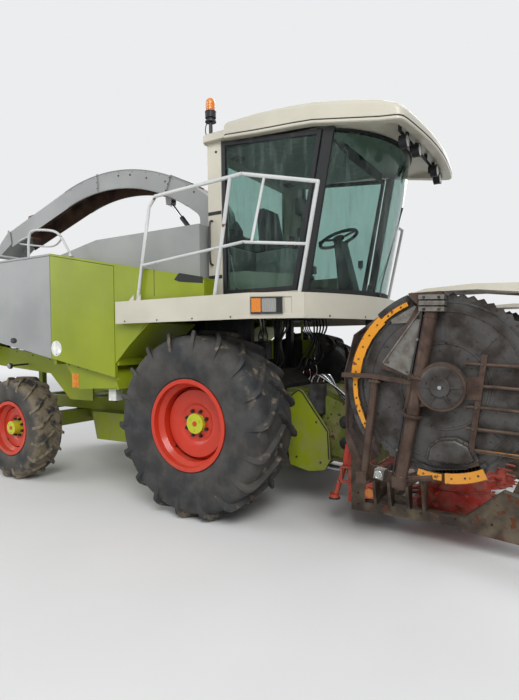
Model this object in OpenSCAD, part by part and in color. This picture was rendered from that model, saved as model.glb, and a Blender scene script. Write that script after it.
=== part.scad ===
// Self-propelled forage harvester with a folded maize header, in millimetres.
// +X is forward, +Y is the machine's left and +Z is up from the ground.
// The modules below measure x from the front axle, and on_machine() moves them to the middle.

/* [Machine] */
// Front axle to rear axle
wheelbase = 2880; // [2700:10:3000]
// Front axle ahead of the middle of the whole length
axle_x = 789; // [700:1:850]
// Half the width over the platform
platform_half_w = 1450; // [1400:5:1500]
// Outer face of the side panels from the middle
panel_y = 1370; // [1320:5:1390]

/* [Wheels] */
// Front tyre radius over the lugs
front_r = 880; // [860:5:900]
// Front tyre section width
front_w = 640; // [540:10:650]
// Front wheel centre from the middle
front_y = 1130; // [1110:5:1140]
// Number of lugs on each half of a front tyre
front_lugs = 18; // [16:1:22]
// Rear tyre radius over the lugs
rear_r = 623; // [600:1:640]
// Rear tyre section width
rear_w = 380; // [340:10:400]
// Rear wheel centre from the middle
rear_y = 1130; // [1110:5:1140]
// Number of lugs on each half of a rear tyre
rear_lugs = 17; // [15:1:20]
// Kingpin from the middle
kingpin_y = 760; // [740:5:770]

/* [Cab] */
// Half the width over the doors
cab_half_w = 900; // [880:5:920]
// Top of the cab floor
cab_floor_z = 2040; // [2020:5:2060]
// Lean of the windscreen
screen_lean = 10.8; // [8:0.1:12]
// Radius of the windscreen in plan
screen_r = 1125; // [1100:5:1200]

/* [Spout] */
// Slewing axis behind the front axle
slew_x = -610; // [-620:5:-600]
// Outer radius of the arch
arch_r = 2770; // [2700:10:2800]
// Depth of the channel
arch_depth = 240; // [200:10:260]
// Width of the channel
arch_w = 400; // [360:10:420]

/* [Header] */
// Centre of a folded wing's drum ahead of the front axle
wing_x = 2290; // [2280:5:2320]
// Height of a folded wing's drum
wing_z = 1320; // [1310:5:1340]
// Radius of a wing's knife disc
knife_r = 650; // [620:5:660]
// Number of teeth on a knife disc
knife_teeth = 60; // [40:2:72]
// Centre drum radius
inner_drum_r = 400; // [360:5:410]

/* [Hidden] */
$fn = 48;

lime = [0.60, 0.68, 0.10];
cream = [0.82, 0.79, 0.70];
pearl = [0.66, 0.68, 0.70];
dark = [0.13, 0.13, 0.14];
rubber = [0.10, 0.10, 0.11];
rim_red = [0.85, 0.22, 0.13];
hub_yellow = [0.75, 0.78, 0.12];
steel = [0.45, 0.42, 0.40];
worn_brown = [0.38, 0.30, 0.26];
amber = [0.95, 0.45, 0.10];
guard_yellow = [0.95, 0.62, 0.08];
frame_red = [0.72, 0.12, 0.10];
glass_green = [0.35, 0.55, 0.52, 0.4];

// Radial clearance of a pin in its hole
pin_gap = 0.05;
sheet_t = 8;

// Moves what is measured from the front axle to the middle of the machine's length
module on_machine() translate([axle_x, 0, 0]) children();

// Draws its children on the right-hand side and mirrored on the left
module both_sides() {
  children();
  mirror([0, 1, 0]) children();
}

module left_side() mirror([0, 1, 0]) children();

// A plate drawn in the side view, from y_low and t thick towards +Y
module side_plate(outline, y_low, t) {
  translate([0, y_low + t, 0]) rotate([90, 0, 0]) linear_extrude(t) polygon(outline);
}

// A box given by its lowest and highest corners
module block(low, high) translate(low) cube(high - low);

// A round bar between two points
module rod(a, b, d) {
  v = b - a;
  translate(a) rotate([0, acos(v.z / norm(v)), atan2(v.y, v.x)]) cylinder(h = norm(v), d = d);
}

// A bent tube through points, with a ball in each bend
module bent_tube(points, d) {
  for (i = [0:len(points) - 2]) rod(points[i], points[i + 1], d);
  for (i = [1:1:len(points) - 2]) translate(points[i]) sphere(d = d * 1.03);
}

// A cylinder across the machine, centred on y
module cross_bar(x, z, d, y_low, y_high) {
  translate([x, y_high, z]) rotate([90, 0, 0]) cylinder(h = y_high - y_low, d = d);
}

function unit(v) = v / norm(v);

// Points of an arc round a centre, from angle a0 to a1 in n steps
function arc(cx, cz, r, a0, a1, n) = [for (i = [0:n]) let (a = a0 + (a1 - a0) * i / n) [cx + r * cos(a), cz + r * sin(a)]];

/* Chassis and axles */

rail_y = [380, 490];
rail_z = [800, 950];
rail_x = [-3560, 150];
deck_under_z = 1985;
hitch_x = -3680;
hitch_z = 760;
hitch_bore_d = 33;

module chassis() color(lime) {
  both_sides() {
    block([rail_x[0], -rail_y[1], rail_z[0]], [rail_x[1], -rail_y[0], rail_z[1]]);
    // Posts that carry the body
    for (x = [-3400, -2500, -1300]) block([x, -rail_y[1], rail_z[1] - 20], [x + 80, -rail_y[1] + 70, 1420]);
    // Tank that hangs between the wheels
    side_plate([[-2000, 470], [-1340, 470], [-1300, 780], [-1340, 805], [-2080, 805]], -700, 320);
  }
  for (x = [-3560, -2080, -1010])
    block([x, -rail_y[0] - 20, rail_z[0] + 10], [x + 110, rail_y[0] + 20, rail_z[1] - 10]);
}

// Posts and beams that carry the cab and its platform
module platform_frame() color(lime) {
  both_sides() {
    for (x = [-100, 60]) block([x, -rail_y[1], rail_z[1]], [x + 80, -rail_y[1] + 70, deck_under_z - 60]);
    block([-100, -rail_y[1], deck_under_z - 90], [1180, -rail_y[1] + 70, deck_under_z]);
  }
  for (x = [-100, 760]) block([x, -1340, deck_under_z - 80], [x + 70, 1340, deck_under_z]);
}

// Two plates with a pin hole, on the rear cross-member
module rear_hitch() color(dark) difference() {
  union() {
    block([rail_x[0] - 14, -110, hitch_z - 60], [rail_x[0], 110, rail_z[1] - 10]);
    for (z = [hitch_z - 60, hitch_z + 30]) block([hitch_x - 60, -70, z], [rail_x[0] - 8, 70, z + 30]);
  }
  translate([hitch_x, 0, hitch_z - 100]) cylinder(h = 200, d = hitch_bore_d);
}

spindle_front_d = 120;
spindle_rear_d = 70;
front_disc_y = 1235;

// One drive casing on the outside of each rail, with the hub's flange and spindle
module front_axle() color(dark) both_sides() {
  cross_bar(0, front_r, 300, -700, -rail_y[1]);
  cross_bar(0, front_r, 420, -800, -640);
  cross_bar(0, front_r, 520, -1100, -790);
  cross_bar(0, front_r, 400, -1180, -1100);
  cross_bar(0, front_r, spindle_front_d, -front_disc_y - 4, -1180);
}

axle_ear_t = 50;
knuckle_h = 120;
pin_d = 50;

module rear_axle() color(lime) {
  difference() {
    union() {
      block([-wheelbase - 90, -640, 560], [-wheelbase + 90, 640, 740]);
      both_sides() block([-wheelbase - 60, -640, 508], [-wheelbase + 60, -600, 738]);
      both_sides() for (z = [rear_r - knuckle_h / 2 - 5 - axle_ear_t, rear_r + knuckle_h / 2 + 5]) {
        block([-wheelbase - 60, -kingpin_y, z], [-wheelbase + 60, -600, z + axle_ear_t]);
        translate([-wheelbase, -kingpin_y, z]) cylinder(h = axle_ear_t, d = 120);
      }
      // Pendulum bearing under the rails
      for (x = [-wheelbase - 170, -wheelbase + 110]) block([x, -140, 620], [x + 60, 140, 870]);
      block([-wheelbase - 170, -rail_y[0], 860], [-wheelbase + 170, rail_y[0], 920]);
      block([-wheelbase - 115, -60, 600], [-wheelbase + 115, 60, 700]);
    }
    both_sides() translate([-wheelbase, -kingpin_y, 400]) cylinder(h = 500, d = pin_d + 2 * pin_gap);
    both_sides() block([-wheelbase - 95, -850, rear_r - knuckle_h / 2 - 5], [-wheelbase + 95, -660, rear_r + knuckle_h / 2 + 5]);
  }
}

module knuckle() color(dark) {
  z0 = rear_r - knuckle_h / 2;
  translate([-wheelbase, -kingpin_y, z0]) cylinder(h = knuckle_h, d = 130);
  translate([-wheelbase, -kingpin_y, z0 - axle_ear_t - 25]) cylinder(h = knuckle_h + 2 * axle_ear_t + 50, d = pin_d);
  cross_bar(-wheelbase, rear_r, 110, -980, -kingpin_y);
  cross_bar(-wheelbase, rear_r, 160, -1010, -930);
  cross_bar(-wheelbase, rear_r, spindle_rear_d, -1130, -1000);
}

/* Wheels, drawn with the axle along Z and turned into place */

// Upper half of a tyre's section: [radius as a share of r, half width as a share of w]
tyre_section = [[0.62, 0.485], [0.74, 0.50], [0.85, 0.475], [0.915, 0.425], [0.945, 0.33]];

module tyre_body(r, w, bead_r, rim_half) {
  bead = [[bead_r, rim_half - 13], [bead_r + 26, rim_half - 13], [bead_r + 38, rim_half + 4]];
  half = concat(bead, [for (p = tyre_section) [p[0] * r, p[1] * w]]);
  rotate_extrude($fn = 96) polygon(concat(half, [for (i = [len(half) - 1:-1:0]) [half[i][0], -half[i][1]]]));
}

// One lug: a bar that runs back from the middle of the tread to the shoulder
module lug(r, w, swing) {
  bar_l = 0.74 * w;
  bar_w = 0.062 * r;
  translate([r * 0.83, 0, w * 0.235]) rotate([swing, 0, 0])
    translate([0, -bar_w / 2, -bar_l / 2]) cube([r * 0.20, bar_w, bar_l]);
}

module tyre(r, w, bead_r, rim_half, lugs) color(rubber) {
  tyre_body(r, w, bead_r, rim_half);
  intersection() {
    union() for (i = [0:lugs - 1]) {
      rotate([0, 0, i * 360 / lugs]) lug(r, w, 42);
      rotate([0, 0, (i + 0.5) * 360 / lugs]) mirror([0, 0, 1]) lug(r, w, 42);
    }
    rotate_extrude($fn = 96) polygon([
      [0.84 * r, -0.495 * w], [0.955 * r, -0.47 * w], [r, -0.40 * w], [r, 0.40 * w], [0.955 * r, 0.47 * w], [0.84 * r, 0.495 * w]
    ]);
  }
}

// Rim: barrel with flanges, a dished disc and a hub, the outer side towards -Z
// r is the bead radius, disc_z the disc's place from the wheel's middle
module rim(r, w, disc_z, hub_r, bore_d, hub_out, hub_in) {
  t = 12;
  color(rim_red) {
    rotate_extrude($fn = 96) polygon([
      [r - 14, -w / 2 - 6], [r + 24, -w / 2 - 6], [r + 24, -w / 2 + 8], [r, -w / 2 + 12], [r - 4, -w / 2 + 60],
      [r - 40, -w / 2 + 90], [r - 40, w / 2 - 90], [r - 4, w / 2 - 60], [r, w / 2 - 12], [r + 24, w / 2 - 8],
      [r + 24, w / 2 + 6], [r - 14, w / 2 + 6], [r - 16, w / 2 - 55], [r - 54, w / 2 - 95], [r - 54, -w / 2 + 95],
      [r - 16, -w / 2 + 55]
    ]);
    difference() {
      rotate_extrude($fn = 96) polygon([
        [0, disc_z - 10], [r * 0.42, disc_z - 10], [r * 0.50, disc_z - 30], [r * 0.78, disc_z - 34], [r - 50, disc_z + 40],
        [r - 50, disc_z + 58], [r * 0.76, disc_z - 34 + t], [r * 0.50, disc_z - 30 + t], [r * 0.42, disc_z + t], [0, disc_z + t]
      ]);
      translate([0, 0, disc_z - 60]) cylinder(h = 140, d = bore_d + 2 * pin_gap);
    }
  }
  color(hub_yellow) difference() {
    union() {
      translate([0, 0, disc_z - hub_out]) cylinder(h = hub_out - 8, r = hub_r);
      translate([0, 0, disc_z + 6]) cylinder(h = hub_in, r = hub_r * 0.8);
    }
    translate([0, 0, disc_z - 12]) cylinder(h = hub_in + 60, d = bore_d + 2 * pin_gap);
  }
}

module place_wheel(x, y, z) translate([x, -y, z]) rotate([90, 0, 0]) mirror([0, 0, 1]) children();

front_bead_r = 406;
rear_bead_r = 305;
front_rim_w = 0.86 * front_w;
rear_rim_w = 0.84 * rear_w;
bead_gap = 0.5;

module tyre_front() place_wheel(0, front_y, front_r)
  tyre(front_r, front_w, front_bead_r + bead_gap, front_rim_w / 2, front_lugs);
module rim_front() place_wheel(0, front_y, front_r)
  rim(front_bead_r, front_rim_w, front_y - front_disc_y, 95, spindle_front_d, 50, 45);
module tyre_rear() place_wheel(-wheelbase, rear_y, rear_r)
  tyre(rear_r, rear_w, rear_bead_r + bead_gap, rear_rim_w / 2, rear_lugs);
module rim_rear() place_wheel(-wheelbase, rear_y, rear_r)
  rim(rear_bead_r, rear_rim_w, -30, 80, spindle_rear_d, 110, 140);

/* Engine, body and hood */

body_rear_x = -3750;
panel_split_x = -1950;
panel_front_x = -950;
deck_z = 2660;
hood_half_w = 1000;
hood_rear_x = -2340;
hood_z = 2830;
floor_z = 1445;

module engine_block() color(steel) {
  block([-3250, -560, floor_z], [-2250, 560, 2100]);
  block([-3150, -380, 2100], [-2350, 380, 2320]);
}

// Upper edge of the side panels, falling towards the cab
function panel_top(x) = x < panel_split_x ? deck_z : deck_z - (x - panel_split_x) * 0.2;
// Lower edge of the side panels, falling towards the cab
function panel_low(x) = 1505 - (x + 2050) * 0.19;

fixed_front_x = 200; // front end of the fixed side panel
shoulder_front_x = 60; // front end of the sloping top beside the hood

module body_shell() color(lime) {
  skirt_y = 1000;
  // Floor of the engine bay, its rear wall with the gate's opening, and the front bulkhead
  block([body_rear_x + 40, -skirt_y, floor_z - 25], [panel_front_x, skirt_y, floor_z]);
  difference() {
    block([body_rear_x, -panel_y + 45, floor_z - 25], [body_rear_x + 45, panel_y - 45, deck_z - 22]);
    block([body_rear_x - 5, -760, 1490], [body_rear_x + 50, 760, 2560]);
  }
  block([panel_front_x + 8, -panel_y + 20, floor_z - 25], [panel_front_x + 38, panel_y - 20, 2430]);
  block([panel_front_x - 5, -skirt_y, floor_z - 25], [panel_front_x + 20, skirt_y, floor_z]);
  // Rear deck and the shoulders beside the hood
  block([body_rear_x, -panel_y + 4, deck_z - 22], [hood_rear_x, panel_y - 4, deck_z]);
  both_sides() {
    side_plate([
      [hood_rear_x - 5, deck_z - 22], [hood_rear_x - 5, deck_z], [panel_split_x, deck_z],
      [shoulder_front_x, panel_top(shoulder_front_x)], [shoulder_front_x, 2040], [shoulder_front_x - 12, 2040],
      [shoulder_front_x - 12, panel_top(shoulder_front_x) - 22], [panel_split_x, deck_z - 22]
    ], -panel_y + 4, panel_y - hood_half_w - 4);
    // Fixed panel above the platform, beside the cab
    side_plate([
      [panel_front_x + 8, panel_top(panel_front_x) - 20], [fixed_front_x, panel_top(fixed_front_x) - 20],
      [fixed_front_x, 2040], [panel_front_x + 8, 2040]
    ], -panel_y, 25);
    // Panel below the platform and the wheel arch behind the front tyre
    side_plate([[panel_front_x + 8, 2045], [-500, 2045], [-500, 1840], [-560, 1800], [panel_front_x + 8, 1440]], -panel_y, 25);
    difference() {
      side_plate([
        [-480, 1835], [-1010, 1415], [-900, 1180], [-915, 1172], [-1030, 1412], [-1028, 1422], [-488, 1848]
      ], -panel_y, panel_y - 640);
      // Room for the front side door
      block([-1035, -panel_y - 1, 1100], [panel_front_x + 8, -panel_y + 46, 1500]);
    }
    // Long lower skirt and the skirt over the rear wheel
    side_plate([[-1800, 1440], [-955, 1300], [-905, 1190], [-1590, 1150]], -1300, 25);
    block([-1560, -1290, 1165], [-960, -490, 1185]);
    side_plate([[-3500, 1640], [-2050, 1440], [-1680, 1440], [-1680, 990], [-2070, 990], [-2420, 1290], [-3500, 1380]], -1030, 25);
    // Posts between the panels
    block([panel_split_x - 25, -panel_y + 50, floor_z - 15], [panel_split_x + 25, -panel_y + 100, deck_z - 22]);
    block([panel_split_x - 25, -panel_y + 50, floor_z - 25], [panel_split_x + 25, -skirt_y + 10, floor_z]);
  }
}

module hood() color(pearl) {
  side_plate([
    [hood_rear_x, 2560], [hood_rear_x, 2700], [-1620, hood_z], [-130, hood_z], [-130, 2060], [-900, 2060],
    [-900, 2440], [-1900, 2560]
  ], -hood_half_w, 2 * hood_half_w);
}

module chopper_housing() color(dark) {
  side_plate([[-560, 700], [-420, 520], [100, 505], [150, 548], [400, 590], [400, 1180], [250, 1330], [-350, 1330], [-560, 1180]],
    -rail_y[0], 2 * rail_y[0]);
  // Crop channel up to the spout
  side_plate([[-560, 1180], [-350, 1330], [-420, 1980], [-480, 2060], [-760, 2060], [-800, 1900]], -300, 600);
  both_sides() {
    cross_bar(lift_x, lift_z, 100, -500, -rail_y[0] + 10);
    // Ears of the lift cylinder
    for (y = [-lift_y - 62, -lift_y + 48])
      side_plate([[150, 570], [260, 570], [260, 440], [235, 400], [175, 400], [150, 440]], y, 14);
    cross_bar(lift_pin_x, lift_pin_z, 40, -lift_y - 66, -lift_y + 66);
  }
}

/* Cab */

cab_rear_x = -90;
pillar_front_x = 80;
deck_top_z = 2007;
sill_z = 2110;
glass_top_z = 3495;
roof_under_z = 3640;
screen_foot_x = 1375;
screen_half_w = cab_half_w - 32;

// The windscreen's leaning round column, at radius r
module screen_column(r) {
  translate([screen_foot_x - screen_r, 0, sill_z]) rotate([0, screen_lean, 0])
    translate([0, 0, -600]) cylinder(h = 2600, r = r, $fn = 96);
}

module cab_frame() {
  color(cream) {
    // Floor, cut round at the front
    intersection() {
      block([cab_rear_x, -cab_half_w + 40, deck_top_z], [1500, cab_half_w - 40, cab_floor_z]);
      screen_column(screen_r - 20);
    }
    // Rear wall with its window, and the rear pillars
    difference() {
      block([cab_rear_x, -cab_half_w + 60, deck_top_z], [cab_rear_x + 50, cab_half_w - 60, roof_under_z - 5]);
      block([cab_rear_x - 10, -640, 2650], [cab_rear_x + 60, 640, 3500]);
    }
    both_sides() {
      block([cab_rear_x, -cab_half_w, deck_top_z], [pillar_front_x - 6, -cab_half_w + 130, roof_under_z - 5]);
      // Sill under the door
      block([pillar_front_x - 10, -cab_half_w, deck_top_z], [905, -cab_half_w + 50, sill_z]);
    }
  }
  color(dark) {
    // Front pillars, leaning with the windscreen
    both_sides() side_plate([[903, deck_top_z], [990, deck_top_z], [1281, 3512], [1182, 3520]], -cab_half_w, 32);
    // Bands under and over the glass
    for (z = [[deck_top_z, sill_z + 6], [glass_top_z, glass_top_z + 16]]) intersection() {
      difference() {
        screen_column(screen_r + 10);
        screen_column(screen_r - 40);
      }
      block([900, -screen_half_w - 4, z[0]], [2000, screen_half_w + 4, z[1]]);
    }
  }
}

// The roof in side view
roof_side = [
  [-130, roof_under_z], [300, 3635], [640, 3610], [1240, 3530], [1550, 3440], [1800, 3400], [1960, 3400], [1975, 3440],
  [1800, 3600], [1500, 3700], [1240, 3755], [950, 3800], [600, 3835], [200, 3850], [-60, 3840], [-130, 3790]
];

beacon_foot = [-40, -905, 3844];

module cab_roof() color(cream) difference() {
  union() {
    roof_shape();
    translate([beacon_foot.x, beacon_foot.y, 3780]) cylinder(h = beacon_foot.z - 3780, r = 50);
  }
  // Underside of the brow in front of the windscreen
  side_plate([[1140, 3560], [1820, 3512], [1890, 3380], [1140, 3380]], -880, 1760);
}

module roof_shape() {
  intersection() {
    side_plate(roof_side, -970, 1940);
    union() {
      block([-140, -970, 3300], [1500, 970, 3900]);
      translate([760, 0, 3300]) cylinder(h = 700, r = 1215, $fn = 96);
    }
  }
}

module cab_glazing() color(glass_green) {
  intersection() {
    difference() {
      screen_column(screen_r);
      screen_column(screen_r - 8);
    }
    block([800, -screen_half_w, sill_z + 6], [2000, screen_half_w, glass_top_z]);
  }
  block([cab_rear_x + 15, -640, 2650], [cab_rear_x + 22, 640, 3500]);
}

seat_x = 330;

module seat() color([0.12, 0.12, 0.13]) {
  block([seat_x - 150, -170, cab_floor_z], [seat_x + 170, 170, cab_floor_z + 330]);
  block([seat_x - 220, -250, cab_floor_z + 330], [seat_x + 260, 250, cab_floor_z + 450]);
  side_plate([[seat_x - 220, cab_floor_z + 450], [seat_x - 110, cab_floor_z + 450], [seat_x - 190, cab_floor_z + 1050], [seat_x - 260, cab_floor_z + 1050]], -240, 480);
  // Arm console on the right
  block([seat_x - 150, -430, cab_floor_z], [seat_x + 380, -290, cab_floor_z + 560]);
}

module steering_column() color([0.15, 0.15, 0.16]) {
  side_plate([[980, cab_floor_z], [1160, cab_floor_z], [1000, cab_floor_z + 640], [920, cab_floor_z + 640]], -90, 180);
  translate([940, 0, cab_floor_z + 660]) rotate([0, -20, 0]) {
    cylinder(h = 30, r = 60);
    difference() {
      cylinder(h = 26, r = 215);
      translate([0, 0, -1]) cylinder(h = 28, r = 188);
    }
    for (a = [0, 120, 240]) rotate([0, 0, a]) translate([20, -14, 4]) cube([185, 28, 14]);
  }
}

// Door in side view, and its glass set in by a margin
door_front_low = 895;
door_front_high = 1165;
door_top_z = 3520;
function door_outline(m) = [
  [pillar_front_x + m, sill_z + m + 4], [door_front_low - m, sill_z + m + 4],
  [door_front_high - m, door_top_z - m], [pillar_front_x + m, roof_under_z - 20 - m]
];

module door() color(dark) difference() {
  side_plate(door_outline(2), -cab_half_w, 40);
  side_plate(door_outline(42), -cab_half_w - 5, 50);
}

module door_glass() color(glass_green) side_plate(door_outline(42), -cab_half_w + 12, 8);

/* Platform, rails and ladder */

fascia_z = [1840, 2060];
front_arc_r = 2350;
front_arc_x = 1450 - front_arc_r;
corner_x = 1120;
corner_y = 1200;

module platform() color(cream) {
  // Deck
  difference() {
    union() {
      linear_extrude_at(1985, 22) polygon([
        [-850, -platform_half_w + 10], [720, -platform_half_w + 10], [corner_x - 10, -corner_y],
        [corner_x - 10, corner_y], [720, platform_half_w - 10], [-850, platform_half_w - 10]
      ]);
      intersection() {
        translate([front_arc_x, 0, 1985]) cylinder(h = 22, r = front_arc_r - 5, $fn = 128);
        block([corner_x - 20, -corner_y + 4, 1900], [1600, corner_y - 4, 2100]);
      }
    }
    // Well behind the cab for the body and the hood
    block([-860, -panel_y, 1900], [cab_rear_x - 20, panel_y, 2100]);
    both_sides() on_chamfer() translate([14, 0, 0]) cube([350, 40, lamp_pocket_h]);
  }
  // Side walls, chamfered corners and the bowed front
  both_sides() {
    difference() {
      linear_extrude_at(fascia_z[0], fascia_z[1] - fascia_z[0]) polygon([
        [-850, -platform_half_w], [724, -platform_half_w], [corner_x + 8, -corner_y - 4], [corner_x - 6, -corner_y + 18],
        [716, -platform_half_w + 25], [-850, -platform_half_w + 25]
      ]);
      on_chamfer() translate([14, 0, 0]) cube([350, 40, lamp_pocket_h]);
    }
    // Rear end of the side wall, up to the body's panel
    block([-850, -platform_half_w, fascia_z[0]], [-825, -panel_y, fascia_z[1]]);
  }
  intersection() {
    difference() {
      translate([front_arc_x, 0, fascia_z[0]]) cylinder(h = fascia_z[1] - fascia_z[0], r = front_arc_r, $fn = 128);
      translate([front_arc_x, 0, fascia_z[0] - 1]) cylinder(h = fascia_z[1] - fascia_z[0] + 2, r = front_arc_r - 25, $fn = 128);
    }
    block([900, -corner_y - 1, fascia_z[0]], [1600, corner_y + 1, fascia_z[1]]);
  }
}

module linear_extrude_at(z, h) translate([0, 0, z]) linear_extrude(h) children();

rail_d = 34;
rail_line_y = 1398;
foot_h = 16;

// A round flange under a rail's foot
module foot(p) translate(p) cylinder(h = foot_h, d = 48);

// A bent rail that stands on flanges at its first and last points, its ends lifted clear of what they stand on
module standing_rail(points, d, lift) {
  n = len(points) - 1;
  bent_tube([for (i = [0:n]) i == 0 || i == n ? points[i] + [0, 0, lift] : points[i]], d);
  for (i = [0, n]) foot(points[i]);
}

rail_white = [0.86, 0.86, 0.84];
rail_foot_z = deck_top_z;

// Top rail round the right of the platform, mid rail and posts
module handrail_right() color(rail_white) {
  y = rail_line_y;
  standing_rail([
    [-600, -y, rail_foot_z], [-425, -y, 2950], [-340, -y, 3040], [640, -y, 3080], [1262, -1205, 2960], [1060, -1185, rail_foot_z]
  ], rail_d, 6);
  bent_tube([[-525, -y, 2400], [640, -y, 2500], [1156, -1194, 2460]], rail_d * 0.8);
  rod([520, -y, 3074], [330, -y, rail_foot_z + 6], rail_d);
  foot([330, -y, rail_foot_z]);
  rod([830, -1339, 3043], [712, -1370, 2494], rail_d * 0.7);
}

// Rail beside the way to the left door
module handrail_left() color(rail_white) {
  y = rail_line_y;
  standing_rail([
    [-600, y, rail_foot_z], [-425, y, 2950], [-340, y, 3040], [-60, y, 3040], [-40, y, rail_foot_z]
  ], rail_d, 6);
  rod([-525, y, 2400], [-50, y, 2430], rail_d * 0.8);
}

// Rails on the rear deck, and the post at the platform's left front corner
module deck_rails() color(rail_white) {
  both_sides() {
    standing_rail([[-2640, -1150, deck_z], [-2600, -1150, 3010], [-2220, -1150, 2990], [-2060, -1150, deck_z]], 30, 8);
    standing_rail([[-3660, -1250, deck_z], [-3660, -1250, 3040], [-3140, -1250, 3040], [-3140, -1250, deck_z]], 30, 8);
  }
  rod([-3660, -1250, 2860], [-3660, 1250, 2860], 26);
  bent_tube([[1060, 1185, rail_foot_z + 6], [1262, 1205, 2960], [1240, 1130, 2990]], rail_d);
  foot([1060, 1185, rail_foot_z]);
}

// Access ladder, stowed under the platform's left front corner
module ladder() color([0.30, 0.31, 0.32]) {
  side_y = [750, 1110];
  for (y = side_y) block([950, y, 620], [1070, y + 30, deck_under_z]);
  for (i = [0:5]) let (z = 640 + 250 * i) block([940, side_y[0] + 10, z], [1100, side_y[1] + 20, z + 28]);
}

chamfer_turn = atan2(246, 404);
lamp_pocket_z = 1882;
lamp_pocket_h = 140;
lamp_pocket_d = 12;

// The bottom of the lamp pocket in the right-hand chamfered corner, x along it and y outwards
module on_chamfer() translate([724, -platform_half_w, lamp_pocket_z]) rotate([0, 0, chamfer_turn])
  translate([0, lamp_pocket_d, 0]) mirror([0, 1, 0]) children();

module lamps() {
  color([0.85, 0.85, 0.80]) {
    // Lamp units in the chamfered corners of the platform
    both_sides() on_chamfer() translate([20, 0, 6]) cube([266, lamp_pocket_d + 12, lamp_pocket_h - 12]);
    // Work lamps in the brow of the roof
    for (y = [-620, -340, 340, 620]) {
      translate([1850 - abs(y) * 0.12, y, 3356]) rotate([0, 90, 0]) cylinder(h = 60, r = 58);
      block([1800 - abs(y) * 0.05, y - 10, 3340], [1860 - abs(y) * 0.05, y + 10, 3410]);
    }
    // Tail lamp units on the rear wall
    both_sides() block([body_rear_x - 60, -1280, 1560], [body_rear_x, -1030, 1720]);
  }
  // Beacon on the rear right corner of the roof
  color(amber) translate(beacon_foot) {
    cylinder(h = 40, r = 40);
    translate([0, 0, 38]) cylinder(h = 60, r = 54);
    translate([0, 0, 90]) cylinder(h = 100, r = 46);
    translate([0, 0, 190]) sphere(r = 46.5);
  }
}

module exhaust() color(dark) {
  bent_tube([[-2900, 760, deck_z], [-2900, 760, 3060], [-2990, 760, 3160]], 150);
  translate([-3350, -650, deck_z]) cylinder(h = 250, r = 120);
  translate([-3350, -650, deck_z + 240]) cylinder(h = 120, r = 160);
}

/* Doors of the body */

panel_t = 40;

module panel_green() color(lime) side_plate([
  [panel_split_x + 4, panel_low(panel_split_x)], [panel_split_x + 4, deck_z - 28],
  [panel_front_x - 2, panel_top(panel_front_x) - 28], [panel_front_x - 2, panel_low(panel_front_x)]
], -panel_y, panel_t);

module panel_grey() color(pearl) side_plate([
  [body_rear_x + 4, panel_low(body_rear_x)], [body_rear_x + 4, deck_z - 28], [panel_split_x - 4, deck_z - 28],
  [panel_split_x - 4, panel_low(panel_split_x)]
], -panel_y, panel_t);

gate_w = 750;
gate_z = [1500, 2550];

module tail_gate() color(dark) {
  gap = 6;
  difference() {
    block([body_rear_x - 30, -gate_w, gate_z[0] + gap], [body_rear_x + 20, gate_w, gate_z[1] - gap]);
    block([body_rear_x - 40, -gate_w + 60, gate_z[0] + 60], [body_rear_x + 30, gate_w - 60, gate_z[1] - 60]);
  }
  for (i = [0:13]) let (z = gate_z[0] + 80 + i * 68)
    block([body_rear_x - 20, -gate_w + 50, z], [body_rear_x + 10, gate_w - 50, z + 14]);
  for (y = [-350, 0, 350]) block([body_rear_x - 16, y - 12, gate_z[0] + 50], [body_rear_x + 6, y + 12, gate_z[1] - 50]);
}

/* Spout */

turret_z = [2830, 2990];
arch_cx = -2300;
arch_cz = 1160;
arch_a0 = 53; // angle where the arch meets the elbow, from +X
arch_a1 = 107.5; // angle where the straight run begins
elbow_r = 350;
elbow_cx = arch_cx + (arch_r - elbow_r) * cos(arch_a0);
elbow_cz = arch_cz + (arch_r - elbow_r) * sin(arch_a0);
run_l = 1385;
tilt_x = slew_x + 150;
tilt_z = 2960;
flap_x = arch_cx + arch_r * cos(arch_a1) - run_l * sin(arch_a1);
flap_z = arch_cz + arch_r * sin(arch_a1) + run_l * cos(arch_a1);

// Side view of the arch between the outer line and one set in by depth
function arch_band(inset, depth) = concat(
  [[elbow_cx + elbow_r - inset, 3005]],
  arc(elbow_cx, elbow_cz, elbow_r - inset, 0, arch_a0, 4),
  arc(arch_cx, arch_cz, arch_r - inset, arch_a0 + 4, arch_a1, 12),
  [[flap_x - inset * cos(arch_a1), flap_z - inset * sin(arch_a1)]],
  [[flap_x - (inset + depth) * cos(arch_a1), flap_z - (inset + depth) * sin(arch_a1)]],
  arc(arch_cx, arch_cz, arch_r - inset - depth, arch_a1, arch_a0 + 4, 12),
  arc(elbow_cx, elbow_cz, max(elbow_r - inset - depth, 40), arch_a0, 0, 3),
  [[elbow_cx + max(elbow_r - inset - depth, 40), 3005]]
);

module spout_turret() color(dark) {
  translate([slew_x, 0, turret_z[0] + 6]) difference() {
    union() {
      cylinder(h = 40, r = 330);
      cylinder(h = 130, r = 222);
    }
    translate([0, 0, -1]) cylinder(h = 140, r = 200);
  }
  // Ears for the tilt axis and for the cylinder
  both_sides() {
    side_plate([[tilt_x - 90, 2870], [tilt_x + 70, 2870], [tilt_x + 45, tilt_z + 40], [tilt_x - 45, tilt_z + 40]], -228, 18);
    cross_bar(tilt_x, tilt_z, 50, -262, -212);
    side_plate([
      [slew_x - 210, 2852], [slew_x - 345, 2862], [slew_x - 345, 2945], [slew_x - 210, 2965]
    ], -46, 14);
  }
  cross_bar(spout_pin_x, spout_pin_z, 30, -46, 46);
}

spout_pin_x = slew_x - 310;
spout_pin_z = 2914;
spout_eye_x = slew_x - 740;
spout_eye_z = 3430;
tilt_eye_gap = 21; // room for the tilt rod's eye to drift round its pin
lift_eye_gap = 12; // the same for the lift rods

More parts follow.
